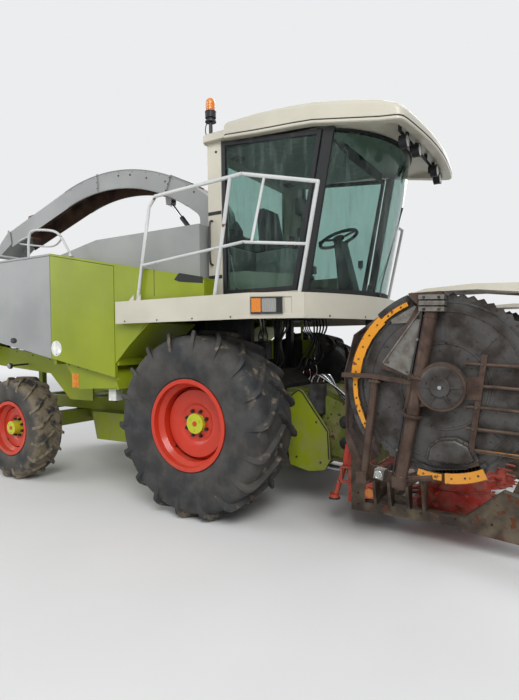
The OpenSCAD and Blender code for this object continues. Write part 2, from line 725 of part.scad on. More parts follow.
module spout_arch() color(pearl) {
  difference() {
    side_plate(arch_band(0, arch_depth), -arch_w / 2, arch_w);
    side_plate(arch_band(9, arch_depth), -arch_w / 2 + 9, arch_w - 18);
  }
  // Cheeks that turn on the turret's pins
  both_sides() {
    difference() {
      side_plate([
        [tilt_x - 230, 3010], [tilt_x - 110, 2925], [tilt_x + 40, 2925], [tilt_x + 40, 3000], [tilt_x - 40, 3130], [tilt_x - 230, 3130]
      ], -arch_w / 2 - 48, 12);
      cross_bar(tilt_x, tilt_z, 50 + 2 * pin_gap, -300, -180);
    }
    block([tilt_x - 200, -arch_w / 2 - 40, 3040], [tilt_x - 60, -arch_w / 2 + 4, 3070]);
    // Lugs of the tilt cylinder, under a plate across the channel
    side_plate([
      [spout_eye_x - 40, spout_eye_z - 30], [spout_eye_x + 40, spout_eye_z - 30], [spout_eye_x + 60, 3550], [spout_eye_x - 60, 3550]
    ], -46, 12);
    cross_bar(flap_x, flap_z, 30, -arch_w / 2 - 16, -arch_w / 2 + 9);
  }
  block([spout_eye_x - 60, -arch_w / 2 + 4, 3535], [spout_eye_x + 60, arch_w / 2 - 4, 3555]);
  cross_bar(spout_eye_x, spout_eye_z, 26, -46, 46);
  // Stiffening band and the flap drive's cover
  side_plate([
    [flap_x + 260, flap_z + 76], [flap_x + 620, flap_z + 188], [flap_x + 620, flap_z + 250], [flap_x + 330, flap_z + 230]
  ], -90, 180);
}

flap_l = 560;
flap_drop = 38; // angle of the flap below level

module spout_flap() color(pearl) translate([flap_x, 0, flap_z]) rotate([0, -flap_drop, 0]) mirror([1, 0, 0]) {
  w = arch_w / 2 + 16;
  block([18, -w, -5], [flap_l, w, 5]);
  both_sides() difference() {
    side_plate([[-26, -30], [-26, 20], [0, 28], [24, 5], [flap_l, 5], [flap_l, -110], [60, -190], [0, -80]], -w, 9);
    cross_bar(0, 0, 30 + 2 * pin_gap, -w - 5, -w + 20);
  }
}

module spout_barrel() color(dark) {
  u = unit([spout_eye_x - spout_pin_x, 0, spout_eye_z - spout_pin_z]);
  pin = [spout_pin_x, 0, spout_pin_z];
  difference() {
    union() {
      cross_bar(spout_pin_x, spout_pin_z, 64, -24, 24);
      rod(pin + 20 * u, pin + 400 * u, 60);
    }
    cross_bar(spout_pin_x, spout_pin_z, 30 + 2 * pin_gap, -60, 60);
    rod(pin + 60 * u, pin + 410 * u, 36);
  }
}

module spout_rod() color([0.75, 0.76, 0.78]) {
  u = unit([spout_eye_x - spout_pin_x, 0, spout_eye_z - spout_pin_z]);
  pin = [spout_pin_x, 0, spout_pin_z];
  eye = [spout_eye_x, 0, spout_eye_z];
  difference() {
    union() {
      rod(pin + 80 * u, eye - 34 * u, 34);
      cross_bar(spout_eye_x, spout_eye_z, 26 + 2 * tilt_eye_gap + 20, -22, 22);
    }
    cross_bar(spout_eye_x, spout_eye_z, 26 + 2 * tilt_eye_gap, -30, 30);
  }
}

/* Feeder and lift */

lift_x = 350;
lift_z = 1000;
lift_pin_x = 205;
lift_pin_z = 450;
lift_eye_x = 1200;
lift_eye_z = 350;
lift_y = 310;
header_x = 1405; // where the header hangs on the feeder

module feeder() color(lime) {
  // Housing of the feed rollers, open from front to back
  difference() {
    side_plate([[510, 500], [header_x, 430], [header_x, 1040], [900, 1150], [510, 1160]], -400, 800);
    block([500, -370, 560], [1500, 370, 1000]);
  }
  both_sides() {
    // Arms to the lift axis
    difference() {
      side_plate([
        [lift_x - 90, lift_z - 90], [lift_x + 90, lift_z - 140], [900, 560], [1300, 480], [1380, 520], [1380, 960],
        [900, 1130], [lift_x, lift_z + 120], [lift_x - 80, lift_z + 80]
      ], -460, 32);
      cross_bar(lift_x, lift_z, 100 + 2 * pin_gap, -500, -380);
    }
    block([560, -432, 700], [1350, -396, 900]);
    // Side shield
    side_plate([
      [560, 1060], [730, 1180], [780, 1150], [1050, 780], [1062, 500], [1000, 400], [830, 372], [620, 420]
    ], -560, 24);
    block([660, -540, 720], [900, -455, 800]);
    // Lugs of the lift cylinders
    for (y = [-lift_y - 56, -lift_y + 42]) side_plate([
      [lift_eye_x - 40, lift_eye_z - 45], [lift_eye_x + 40, lift_eye_z - 45], [lift_eye_x + 90, 470], [lift_eye_x - 90, 480]
    ], y, 14);
    cross_bar(lift_eye_x, lift_eye_z, 36, -lift_y - 56, -lift_y + 56);
  }
}

module lift_barrels() color([0.15, 0.15, 0.15]) both_sides() {
  u = unit([lift_eye_x - lift_pin_x, 0, lift_eye_z - lift_pin_z]);
  pin = [lift_pin_x, -lift_y, lift_pin_z];
  difference() {
    union() {
      cross_bar(lift_pin_x, lift_pin_z, 84, -lift_y - 34, -lift_y + 34);
      rod(pin + 30 * u, pin + 560 * u, 90);
    }
    cross_bar(lift_pin_x, lift_pin_z, 40 + 2 * pin_gap, -lift_y - 60, -lift_y + 60);
    rod(pin + 90 * u, pin + 600 * u, 58);
  }
}

module lift_rods() color([0.75, 0.76, 0.78]) both_sides() {
  u = unit([lift_eye_x - lift_pin_x, 0, lift_eye_z - lift_pin_z]);
  pin = [lift_pin_x, -lift_y, lift_pin_z];
  eye = [lift_eye_x, -lift_y, lift_eye_z];
  difference() {
    union() {
      rod(pin + 130 * u, eye - 38 * u, 56);
      cross_bar(lift_eye_x, lift_eye_z, 36 + 2 * lift_eye_gap + 26, -lift_y - 32, -lift_y + 32);
    }
    cross_bar(lift_eye_x, lift_eye_z, 36 + 2 * lift_eye_gap, -lift_y - 60, -lift_y + 60);
  }
}

/* Header */

hinge_y = 1020;
hinge_z = 580;
hinge_d = 50;
wing_feet = [1715, 1985]; // where the wing's two tubes meet the hinge line
divider_nose_x = 3320;
inner_x = 2180;
inner_y = 480;

module header_frame() color(frame_red) {
  wall_x = header_x + 40;
  // Rear wall with the crop opening, and the beams
  difference() {
    block([header_x, -900, 215], [wall_x, 900, 1060]);
    block([header_x - 10, -370, 430], [wall_x + 10, 370, 1000]);
  }
  block([header_x, -900, 1060], [header_x + 115, 900, 1160]);
  block([header_x + 35, -985, 210], [header_x + 155, 985, 300]);
  both_sides() {
    block([header_x + 35, -985, 300], [header_x + 155, -895, 700]);
    // Skid beam that carries the drum, the hinge lugs and the divider
    block([header_x + 35, -985, 210], [2700, -905, 290]);
    for (x = wing_feet) {
      for (side_x = [x - 62, x + 62]) translate([side_x - 12, 0, 0]) rotate([90, 0, 90]) linear_extrude(24)
        polygon([
          [-985, 280], [-905, 280], [-905, 560], [-hinge_y + 45, 640], [-hinge_y - 35, 610], [-hinge_y - 35, 545]
        ]);
      translate([x - 80, -hinge_y, hinge_z]) rotate([0, 90, 0]) cylinder(h = 160, d = hinge_d);
    }
    // Drum gearbox and its spindle
    translate([inner_x, -inner_y, 150]) cylinder(h = 62, r = 150);
    translate([inner_x, -inner_y, 210]) cylinder(h = 190, d = 70);
    block([header_x + 35, -inner_y - 80, 150], [inner_x, -inner_y + 80, 212]);
    // Side divider: a long nose at ground level
    side_plate([[2300, 250], [2620, 520], [2800, 470], [divider_nose_x - 60, 190], [divider_nose_x, 130], [2700, 150], [2300, 190]], -985, 85);
    // Parking leg, its bracket and the lamp carrier behind the front wheel
    rod([header_x - 3, -800, 800], [1215, -800, 260], 46);
    translate([1205, -800, 225]) cylinder(h = 40, r = 45);
    side_plate([[header_x - 15, 860], [header_x + 2, 860], [header_x + 2, 600], [header_x - 15, 600]], -850, 100);
    block([1310, -815, 560], [header_x + 5, -785, 590]);
    side_plate([[header_x + 150, 480], [1620, 480], [1640, 330], [header_x + 150, 330]], -985, 60);
  }
  block([header_x + 35, -700, 150], [1640, 700, 212]);
  block([header_x + 35, -60, 150], [2640, 60, 212]);
  // Middle divider
  side_plate([[2560, 200], [2680, 480], [2830, 430], [divider_nose_x - 80, 170], [divider_nose_x - 20, 130], [2560, 150]], -90, 180);
}

// Ring of hooked teeth for a drum: n teeth between radius r0 and r1, t thick
module tooth_ring(n, r0, r1, t) {
  linear_extrude(t) union() {
    circle(r = r0, $fn = 72);
    for (i = [0:n - 1]) rotate(i * 360 / n) polygon([[r0 - 12, -40], [r1 - 30, 10], [r1, 46], [r1 - 24, 54], [r0 - 12, 30]]);
  }
}

module drum_inner() color(frame_red) translate([inner_x, -inner_y, 0]) difference() {
  union() {
    translate([0, 0, 222]) tooth_ring(24, inner_drum_r - 25, inner_drum_r, 10);
    translate([0, 0, 230]) cylinder(h = 300, r1 = inner_drum_r - 90, r2 = inner_drum_r - 140, $fn = 72);
    for (z = [300, 400, 500]) translate([0, 0, z]) tooth_ring(10, inner_drum_r - 105, inner_drum_r - 10, 12);
    translate([0, 0, 530]) cylinder(h = 50, r1 = inner_drum_r - 140, r2 = 90, $fn = 72);
  }
  translate([0, 0, 100]) cylinder(h = 304, d = 70 + 2 * pin_gap);
}

// A folded wing is drawn on its underside: local Z points away from the machine
module on_wing() translate([wing_x, 0, wing_z]) rotate([90, 0, 0]) children();

disc_y = 1385; // knife disc, from the middle
frame_y = 1407; // face of the wing frame next to the disc
drum_top_y = 930;

module drum_outer() color(steel) on_wing() difference() {
  union() {
    translate([0, 0, disc_y]) linear_extrude(10) polygon([
      for (i = [0:2 * knife_teeth - 1]) let (a = i * 180 / knife_teeth, r = i % 2 == 0 ? knife_r : knife_r - 22) [r * cos(a), r * sin(a)]
    ]);
    translate([0, 0, disc_y - 60]) cylinder(h = 62, r = 590, $fn = 72);
    translate([0, 0, drum_top_y + 70]) cylinder(h = disc_y - 60 - drum_top_y - 70, r1 = 380, r2 = 430, $fn = 72);
    for (z = [drum_top_y + 110, drum_top_y + 220, drum_top_y + 330]) translate([0, 0, z]) tooth_ring(14, 450, 585, 14);
    translate([0, 0, drum_top_y]) cylinder(h = 72, r1 = 160, r2 = 380, $fn = 72);
  }
  translate([0, 0, disc_y - 95]) cylinder(h = 120, d = 80 + 2 * pin_gap);
}

function wing_u(x) = x - wing_x;
function wing_v(z) = z - wing_z;

// A round bar on the wing's underside between two places given as [x, z]
module wing_tube(a, b, d, y) rod([wing_u(a[0]), wing_v(a[1]), y], [wing_u(b[0]), wing_v(b[1]), y], d);

// A plate on the wing's underside from a side-view outline given as [x, z]
module wing_plate(outline, y, t) translate([0, 0, y]) linear_extrude(t) polygon([for (p = outline) [wing_u(p[0]), wing_v(p[1])]]);

shell_line = [[2080, 1985], [1640, 1690], [1560, 1400], [1570, 960], [1700, 700]];
main_tube = [[2235, 1900], [1985, hinge_z]];
side_tube = [[1815, 1370], [1715, hinge_z]];

// Knife guards: arcs under the disc, [outer radius, inner radius, start angle, end angle]
guard_arcs = [[668, 600, 132, 176], [640, 612, 112, 132], [650, 618, 176, 212], [652, 610, 254, 269], [668, 600, 271, 295]];

function toward_middle(p, t) = p * (1 - t / norm(p));

module wing() {
  shell = [for (p = shell_line) [wing_u(p[0]), wing_v(p[1])]];
  color(worn_brown) on_wing() {
    // Sheet that wraps the drum's rear
    translate([0, 0, drum_top_y + 10]) linear_extrude(frame_y - drum_top_y - 5)
      polygon(concat(shell, [for (i = [len(shell) - 1:-1:0]) toward_middle(shell[i], sheet_t)]));
    // Main tube to the hinge, the side tube and the plates between them
    wing_tube(main_tube[0], main_tube[1], 92, frame_y + 42);
    wing_tube(side_tube[0], side_tube[1], 62, frame_y + 32);
    wing_plate([[1565, 1405], [1780, 1400], [2150, 1345], [2150, 1320], [1780, 1370], [1565, 1372]], frame_y, 70);
    wing_plate([[2165, 1890], [2120, 1890], [1850, 1440], [2070, 1375]], frame_y + 2, 16);
    wing_plate([[2070, 1974], [2300, 1977], [2310, 1840], [2190, 1830], [2075, 1950]], frame_y + 1, 60);
    // Gearbox in the middle and the arm that holds it
    translate([0, 0, frame_y]) cylinder(h = 90, r = 165);
    translate([0, 0, disc_y - 90]) cylinder(h = frame_y - disc_y + 92, d = 80);
    wing_plate([[2060, 1400], [2300, 1440], [2300, 1200], [2040, 1160]], frame_y, 55);
    // Bars over the front half of the disc
    for (i = [0:4]) wing_tube([2440, 1480 - 145 * i], [2900, 1455 - 145 * i], 24, frame_y + 21);
    wing_tube([2560, 1520], [2470, 860], 30, frame_y + 20);
    wing_tube([2900, 1480], [2900, 855], 24, frame_y + 19);
    wing_plate([[2290, 1360], [2560, 1400], [2540, 1240], [2290, 1240]], frame_y, 45);
    // Inner edge plate down to the hinge
    wing_plate([[1574, 990], [1690, 740], [2060, 652], [2060, 602], [1672, 602], [1562, 900]], frame_y, 10);
    // Stays that carry the lower guards
    wing_plate([[2150, 720], [2210, 640], [2560, 700], [2500, 860], [2440, 760]], frame_y, 10);
    wing_tube([2000, 640], [2220, 680], 40, frame_y + 24);
  }
  color(guard_yellow) on_wing() for (g = guard_arcs) translate([0, 0, frame_y]) linear_extrude(26)
    polygon(concat(arc(0, 0, g[0], g[2], g[3], 6), arc(0, 0, g[1], g[3], g[2], 6)));
  // Hinge brackets that reach in from the tubes
  color(worn_brown) for (x = wing_feet) difference() {
    translate([x - 40, 0, 0]) rotate([90, 0, 90]) linear_extrude(80) polygon([
      [-1490, hinge_z + 90], [-1490, hinge_z + 10], [-hinge_y - 10, hinge_z - 40], [-hinge_y + 40, hinge_z],
      [-hinge_y, hinge_z + 45], [-1400, hinge_z + 90]
    ]);
    translate([x - 80, -hinge_y, hinge_z]) rotate([0, 90, 0]) cylinder(h = 160, d = hinge_d + 2 * pin_gap);
  }
  // Outer divider, lying on top while folded
  color(cream) side_plate([
    [2060, 1966], [2180, 2000], [2500, 2016], [2900, 2000], [divider_nose_x, 1900], [divider_nose_x, 1880], [2900, 1930],
    [2520, 1976], [2170, 1978], [2060, 1958]
  ], -frame_y - 40, 440);
}

on_machine() chassis();
on_machine() platform_frame();
on_machine() rear_hitch();
on_machine() front_axle();
on_machine() rear_axle();
on_machine() engine_block();
on_machine() body_shell();
on_machine() hood();
on_machine() chopper_housing();
on_machine() cab_frame();
on_machine() cab_roof();
on_machine() cab_glazing();
on_machine() seat();
on_machine() steering_column();
on_machine() platform();
on_machine() handrail_right();
on_machine() handrail_left();
on_machine() deck_rails();
on_machine() ladder();
on_machine() lamps();
on_machine() exhaust();
on_machine() tyre_front();  // tyre_front_right
on_machine() rim_front();  // rim_front_right
on_machine() left_side() tyre_front();  // tyre_front_left
on_machine() left_side() rim_front();  // rim_front_left
on_machine() knuckle();  // knuckle_right
on_machine() tyre_rear();  // tyre_rear_right
on_machine() rim_rear();  // rim_rear_right
on_machine() left_side() knuckle();  // knuckle_left
on_machine() left_side() tyre_rear();  // tyre_rear_left
on_machine() left_side() rim_rear();  // rim_rear_left
on_machine() door();  // door_right
on_machine() door_glass();  // door_glass_right
on_machine() left_side() door();  // door_left
on_machine() left_side() door_glass();  // door_glass_left
on_machine() panel_green();  // panel_green_right
on_machine() left_side() panel_green();  // panel_green_left
on_machine() panel_grey();  // panel_grey_right
on_machine() left_side() panel_grey();  // panel_grey_left
on_machine() tail_gate();
on_machine() spout_turret();
on_machine() spout_arch();
on_machine() spout_flap();
on_machine() spout_barrel();
on_machine() spout_rod();
on_machine() feeder();
on_machine() lift_barrels();
on_machine() lift_rods();
on_machine() header_frame();
on_machine() drum_inner();  // drum_inner_right
on_machine() left_side() drum_inner();  // drum_inner_left
on_machine() wing();  // wing_right
on_machine() left_side() wing();  // wing_left
on_machine() drum_outer();  // drum_outer_right
on_machine() left_side() drum_outer();  // drum_outer_left
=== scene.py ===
"""Looks of a self-propelled forage harvester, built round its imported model, in metres."""
import math

import bmesh
import bpy
from mathutils import Matrix, Vector


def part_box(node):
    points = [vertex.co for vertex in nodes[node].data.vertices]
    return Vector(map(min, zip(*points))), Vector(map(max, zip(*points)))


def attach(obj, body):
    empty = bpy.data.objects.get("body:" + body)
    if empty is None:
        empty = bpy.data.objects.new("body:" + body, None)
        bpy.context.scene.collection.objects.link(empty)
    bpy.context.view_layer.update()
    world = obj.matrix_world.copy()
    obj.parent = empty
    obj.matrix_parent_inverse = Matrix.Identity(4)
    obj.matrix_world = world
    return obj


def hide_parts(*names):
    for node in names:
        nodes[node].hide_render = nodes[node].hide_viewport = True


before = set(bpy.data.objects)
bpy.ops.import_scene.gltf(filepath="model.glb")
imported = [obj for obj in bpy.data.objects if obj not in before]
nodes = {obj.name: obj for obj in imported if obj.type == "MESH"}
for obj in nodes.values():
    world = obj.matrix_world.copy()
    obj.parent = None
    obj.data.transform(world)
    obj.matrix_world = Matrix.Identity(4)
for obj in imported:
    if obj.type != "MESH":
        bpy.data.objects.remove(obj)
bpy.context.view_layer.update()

RIGHT, LEFT = -1, 1
SIDE_NAMES = ("_right", "_left")


# Places

def middle(name):
    low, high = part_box(name)
    return (low + high) / 2


AXLE_X = middle("tyre_front_right").x


def at(x, y, z):
    """A place given from the front axle, as the model's source gives it."""
    return Vector((AXLE_X + x, y, z))


PANEL_Y = 1.37
PLATFORM_Y = 1.45
CAB_Y = 0.9
SEAT_X = 0.33
CAB_FLOOR = 2.04
WING_X, WING_Z = 2.29, 1.32
WING_FACE_Y = 1.407
BODY_REAR_X = -3.75


# Colours as the eye sees them, 0 to 255

def seen(red, green, blue):
    """The linear colour that shows as this one."""
    shares = (v / 255 for v in (red, green, blue))
    return tuple(v / 12.92 if v <= 0.04045 else ((v + 0.055) / 1.055) ** 2.4 for v in shares)


def darker(colour, share):
    return tuple(v * share for v in colour)


LIME = seen(138, 151, 24)
DARKER_LIME = seen(98, 112, 34)
CREAM = seen(199, 194, 178)
PEARL = seen(151, 153, 152)
BLACK_PAINT = seen(38, 39, 42)
RIM_RED = seen(200, 56, 34)
FRAME_RED = seen(178, 40, 30)
HUB_GREEN = seen(188, 194, 40)
GUARD_YELLOW = seen(216, 142, 28)
WHITE_TUBE = seen(202, 204, 202)
RUBBER = seen(34, 36, 38)
DUST = seen(150, 136, 112)
MUD = seen(104, 92, 76)
RUST = seen(112, 68, 42)
BROWN_STEEL = seen(84, 68, 58)
BARE_STEEL = seen(128, 126, 121)
SOILED_STEEL = seen(62, 52, 47)
PAINT_SPECULAR = 0.28


# Materials

class Graph:
    """A material and its node tree."""

    def __init__(self, name, rough=0.5, metal=0.0, coat=0.0):
        self.material = bpy.data.materials.new(name)
        self.material.use_nodes = True
        self.tree = self.material.node_tree
        self.shader = self.tree.nodes["Principled BSDF"]
        self.shader.inputs["Roughness"].default_value = rough
        self.shader.inputs["Metallic"].default_value = metal
        self.shader.inputs["Coat Weight"].default_value = coat
        self.shader.inputs["Coat Roughness"].default_value = 0.12
        self.place = self.add("ShaderNodeTexCoord").outputs["Object"]
        self.bumped = None

    def put(self, socket, value):
        if isinstance(value, bpy.types.NodeSocket):
            self.tree.links.new(value, socket)
        elif socket.type == "RGBA":
            socket.default_value = (*value, 1)
        else:
            socket.default_value = value

    def add(self, kind, inputs=None, **settings):
        made = self.tree.nodes.new(kind)
        for key, value in settings.items():
            setattr(made, key, value)
        for key, value in (inputs or {}).items():
            self.put(made.inputs[key], value)
        return made

    def noise(self, scale, detail=4.0, stretch=(1, 1, 1)):
        where = self.add("ShaderNodeMapping", {"Vector": self.place, "Scale": stretch}).outputs["Vector"]
        made = self.add("ShaderNodeTexNoise", {"Vector": where, "Scale": scale, "Detail": detail})
        return made.outputs["Fac"]

    def step(self, value, low, high, top=1.0):
        """Goes smoothly from 0 at low to top at high."""
        inputs = {"Value": value, "From Min": low, "From Max": high, "To Max": top}
        made = self.add("ShaderNodeMapRange", inputs, interpolation_type="SMOOTHSTEP")
        return made.outputs["Result"]

    def math(self, operation, a, b):
        made = self.add("ShaderNodeMath", operation=operation)
        self.put(made.inputs[0], a)
        self.put(made.inputs[1], b)
        return made.outputs[0]

    def mix(self, share, a, b):
        made = self.add("ShaderNodeMix", data_type="RGBA")
        self.put(made.inputs[0], share)
        self.put(made.inputs[6], a)
        self.put(made.inputs[7], b)
        return made.outputs[2]

    def height(self):
        return self.add("ShaderNodeSeparateXYZ", {"Vector": self.place}).outputs["Z"]

    def upward(self):
        """1 on faces that look up, where dust settles."""
        normal = self.add("ShaderNodeNewGeometry").outputs["Normal"]
        z = self.add("ShaderNodeSeparateXYZ", {"Vector": normal}).outputs["Z"]
        return self.step(z, 0.55, 0.95)

    def colour(self, value):
        self.put(self.shader.inputs["Base Color"], value)

    def rough(self, value):
        self.put(self.shader.inputs["Roughness"], value)

    def bump(self, height, distance):
        made = self.add("ShaderNodeBump", {"Height": height, "Distance": distance})
        if self.bumped is not None:
            self.put(made.inputs["Normal"], self.bumped)
        self.bumped = made.outputs["Normal"]
        self.put(self.shader.inputs["Normal"], self.bumped)

    def blend(self, share, other):
        """Shows a share of another shader over this one."""
        inputs = {"Fac": share, 1: self.shader.outputs[0], 2: other.outputs[0]}
        made = self.add("ShaderNodeMixShader", inputs)
        self.put(self.tree.nodes["Material Output"].inputs["Surface"], made.outputs[0])


def paint(name, colour, rough=0.36, coat=0.3, dust=0.5, grime_top=1.5, rust=0.0, metal=0.0):
    """Sprayed metal: slow changes of tone, dust on top, low down and in streaks, and rust where it is old."""
    g = Graph(name, rough, metal, coat)
    g.shader.inputs["Specular IOR Level"].default_value = PAINT_SPECULAR
    tone = g.step(g.noise(1.7, 6), 0.32, 0.68)
    shade = g.mix(tone, colour, darker(colour, 0.86))
    patches = g.step(g.noise(7.0, 8), 0.35, 0.72)
    low = g.math("MULTIPLY", g.step(g.height(), grime_top, 0.25), patches)
    top = g.math("MULTIPLY", g.upward(), g.step(g.noise(11.0, 6), 0.3, 0.7))
    dusty = g.math("MULTIPLY", g.math("MAXIMUM", low, top), dust)
    streaks = g.step(g.noise(5.0, 5, (3.0, 3.0, 0.25)), 0.52, 0.78, 0.22 * dust)
    shade = g.mix(g.math("MAXIMUM", dusty, streaks), shade, DUST)
    if rust:
        spots = g.step(g.noise(16.0, 10), 0.68 - 0.12 * rust, 0.74 - 0.1 * rust)
        shade = g.mix(spots, shade, g.mix(g.noise(60.0), RUST, darker(RUST, 0.45)))
    g.colour(shade)
    clean_rough = g.math("ADD", g.math("MULTIPLY", tone, 0.08), rough)
    g.rough(g.math("ADD", g.math("MULTIPLY", dusty, 0.45), clean_rough))
    g.bump(g.noise(900.0, 2), 0.00006)
    g.bump(g.noise(3.0, 3), 0.0022)
    return g.material


def bare(name, colour, other, rough=0.5, metal=0.8, scale=9.0, stretch=(1, 1, 1), dust=0.35):
    """Unpainted steel with stains of a second colour."""
    g = Graph(name, rough, metal)
    stain = g.step(g.noise(scale, 10, stretch), 0.36, 0.66)
    shade = g.mix(stain, colour, other)
    shade = g.mix(g.step(g.noise(scale * 6, 6), 0.6, 0.75), shade, darker(other, 0.5))
    top = g.math("MULTIPLY", g.upward(), dust)
    g.colour(g.mix(g.math("MULTIPLY", top, g.noise(20.0)), shade, DUST))
    g.rough(g.math("ADD", g.math("MULTIPLY", stain, 0.28), rough))
    g.bump(g.noise(scale * 14, 6), 0.0006)
    g.bump(g.noise(scale * 1.5, 4), 0.0015)
    return g.material


def plastic(name, colour, rough=0.45, grain=500.0):
    g = Graph(name, rough)
    worn = g.step(g.noise(12.0, 6), 0.45, 0.75)
    g.colour(g.mix(worn, colour, tuple(min(1.0, v * 1.5 + 0.006) for v in colour)))
    g.rough(g.math("ADD", g.math("MULTIPLY", worn, 0.2), rough))
    g.bump(g.noise(grain, 2), 0.0002)
    return g.material


def tyre_rubber(name, mud):
    """Rubber, with mud where the mesh's tread value says."""
    g = Graph(name, 0.78)
    tread = g.add("ShaderNodeAttribute", attribute_name="tread").outputs["Fac"]
    clean = g.mix(g.step(g.noise(6.0, 6), 0.35, 0.7), RUBBER, seen(54, 56, 58))
    clods = g.math("MULTIPLY", tread, g.step(g.noise(9.0, 8), 0.62 - 0.3 * mud, 0.8 - 0.25 * mud))
    film = g.math("MULTIPLY", g.step(g.noise(3.0, 5), 0.3, 0.75), 0.1 + 0.25 * mud)
    covered = g.math("MAXIMUM", g.math("MULTIPLY", clods, 0.85), film)
    g.colour(g.mix(covered, clean, g.mix(g.noise(40.0), MUD, DUST)))
    g.bump(g.noise(260.0, 4), 0.0006)
    g.bump(g.math("MULTIPLY", clods, g.noise(45.0, 6)), 0.006)
    return g.material


def tinted_glass(name):
    """Green tinted glass with a film of dust that rain has streaked."""
    g = Graph(name, 0.02)
    g.shader.inputs["Transmission Weight"].default_value = 1.0
    g.shader.inputs["IOR"].default_value = 1.25
    g.shader.inputs["Base Color"].default_value = (*seen(184, 208, 202), 1)
    film = g.add("ShaderNodeBsdfDiffuse", {"Color": seen(150, 166, 160)})
    streaks = g.step(g.noise(7.0, 8, (3.0, 3.0, 0.45)), 0.42, 0.86, 0.15)
    smears = g.step(g.noise(1.4, 4), 0.45, 0.75, 0.07)
    g.blend(g.math("ADD", streaks, smears), film)
    return g.material


def lens(name, colour, ribs=220.0, through=0.55):
    """Moulded lens with fine vertical ribs."""
    g = Graph(name, 0.16, coat=0.6)
    g.shader.inputs["Transmission Weight"].default_value = through
    wave = g.add("ShaderNodeTexWave", {"Vector": g.place, "Scale": ribs / 10}).outputs["Fac"]
    g.colour(g.mix(g.math("MULTIPLY", wave, 0.35), colour, darker(colour, 0.6)))
    g.bump(wave, 0.0012)
    return g.material


def cloth(name, colour):
    """Woven seat cover."""
    g = Graph(name, 0.9)
    g.shader.inputs["Sheen Weight"].default_value = 0.35
    threads = {"Vector": g.place, "Scale": 160.0}
    across, along = (g.add("ShaderNodeTexWave", threads, bands_direction=axis).outputs["Fac"]
                     for axis in "YZ")
    weave = g.math("MULTIPLY", across, along)
    g.colour(g.mix(weave, darker(colour, 0.6), colour))
    g.bump(weave, 0.0008)
    return g.material


MAT = {
    "lime": paint("lime_sheet", LIME, rough=0.46, coat=0.1),
    "darker_lime": paint("darker_dusty_lime", DARKER_LIME, rough=0.6, coat=0.0, dust=0.7, grime_top=2.5, rust=0.8),
    "cream": paint("cream_sheet", CREAM, coat=0.15, dust=0.18, grime_top=2.2),
    "pearl": paint("grey_sheet", PEARL, rough=0.46, coat=0.1),
    "dark": paint("dark_metal", BLACK_PAINT, rough=0.5, coat=0.1, dust=0.55),
    "rim": paint("rim_red", RIM_RED, rough=0.32, dust=0.25, grime_top=0.7),
    "hub": paint("hub_green", HUB_GREEN, dust=0.3, grime_top=0.7),
    "red": paint("header_red", FRAME_RED, rough=0.45, coat=0.1, dust=0.6, grime_top=1.1, rust=0.7),
    "soiled": paint("soiled_frame", SOILED_STEEL, 0.5, coat=0.0, dust=0.45, grime_top=1.0, rust=0.9,
                    metal=0.3),
    "guard": paint("guard_yellow", GUARD_YELLOW, 0.45, coat=0.1, dust=0.4, grime_top=2.2, rust=0.75),
    "white": paint("white_tube", WHITE_TUBE, dust=0.25, rust=0.25),
    "brown": bare("brown_steel", BROWN_STEEL, seen(66, 50, 42), rough=0.42, metal=0.55, dust=0.5),
    "silver": bare("worn_plate", BARE_STEEL, seen(104, 98, 90), rough=0.38, scale=14.0),
    "drum": bare("drum_steel", seen(84, 82, 80), seen(54, 48, 44), rough=0.42, metal=0.7, scale=6.0),
    "lining": bare("spout_lining", seen(120, 96, 82), seen(72, 58, 52), rough=0.35, metal=0.6, scale=4.0),
    "iron": bare("engine_iron", seen(70, 72, 72), seen(48, 46, 44), rough=0.6, metal=0.3),
    "rod": bare("polished_rod", seen(196, 197, 200), seen(170, 171, 174), rough=0.12, metal=1.0, dust=0.0),
    "bolt": bare("bolt_steel", seen(96, 90, 84), seen(60, 52, 46), rough=0.45),
    "black": plastic("black_plastic", seen(30, 31, 33)),
    # Dark rubber, also used as the painted shadow in the slit below the hood's edge
    "seal": plastic("rubber_and_painted_shade", seen(24, 25, 26), rough=0.7),
    "grey_plastic": plastic("grey_plastic", seen(150, 150, 145), rough=0.5),
    "front_tyre": tyre_rubber("front_tyre_rubber", 0.25),
    "rear_tyre": tyre_rubber("rear_tyre_rubber", 0.95),
    "glass": tinted_glass("tinted_glass"),
    "amber": lens("amber_lens", seen(240, 138, 18), through=0.2),
    "clear": lens("clear_lens", seen(206, 206, 200)),
    "red_lens": lens("red_lens", seen(190, 24, 20), through=0.3),
    "fabric": cloth("seat_fabric", seen(30, 31, 36)),
    "blank": plastic("blank_plate", seen(206, 207, 202), rough=0.45),
}


# Carried-over nodes

SHARP = math.radians(38)


def round_edges(piece, width):
    bevel = piece.modifiers.new("edges", "BEVEL")
    bevel.width = width
    bevel.segments = 2
    bevel.limit_method = "ANGLE"
    bevel.angle_limit = SHARP
    return bevel


def finish(names, material, edge=0.003):
    for name in names.split():
        node = nodes[name]
        node.data.materials.clear()
        node.data.materials.append(MAT[material])
        node.modifiers.new("weld", "WELD").merge_threshold = 0.00002
        if edge:
            round_edges(node, edge).use_clamp_overlap = True
        node.modifiers.new("normals", "WEIGHTED_NORMAL").keep_sharp = True


def repaint(name, material, where):
    """Gives faces another material where a test says so, given a face's x from the axle, distance
    from the middle, and height."""
    mesh = nodes[name].data
    mesh.materials.append(MAT[material])
    for face in mesh.polygons:
        x, y, z = face.center
        if where(x - AXLE_X, abs(y), z):
            face.material_index = len(mesh.materials) - 1


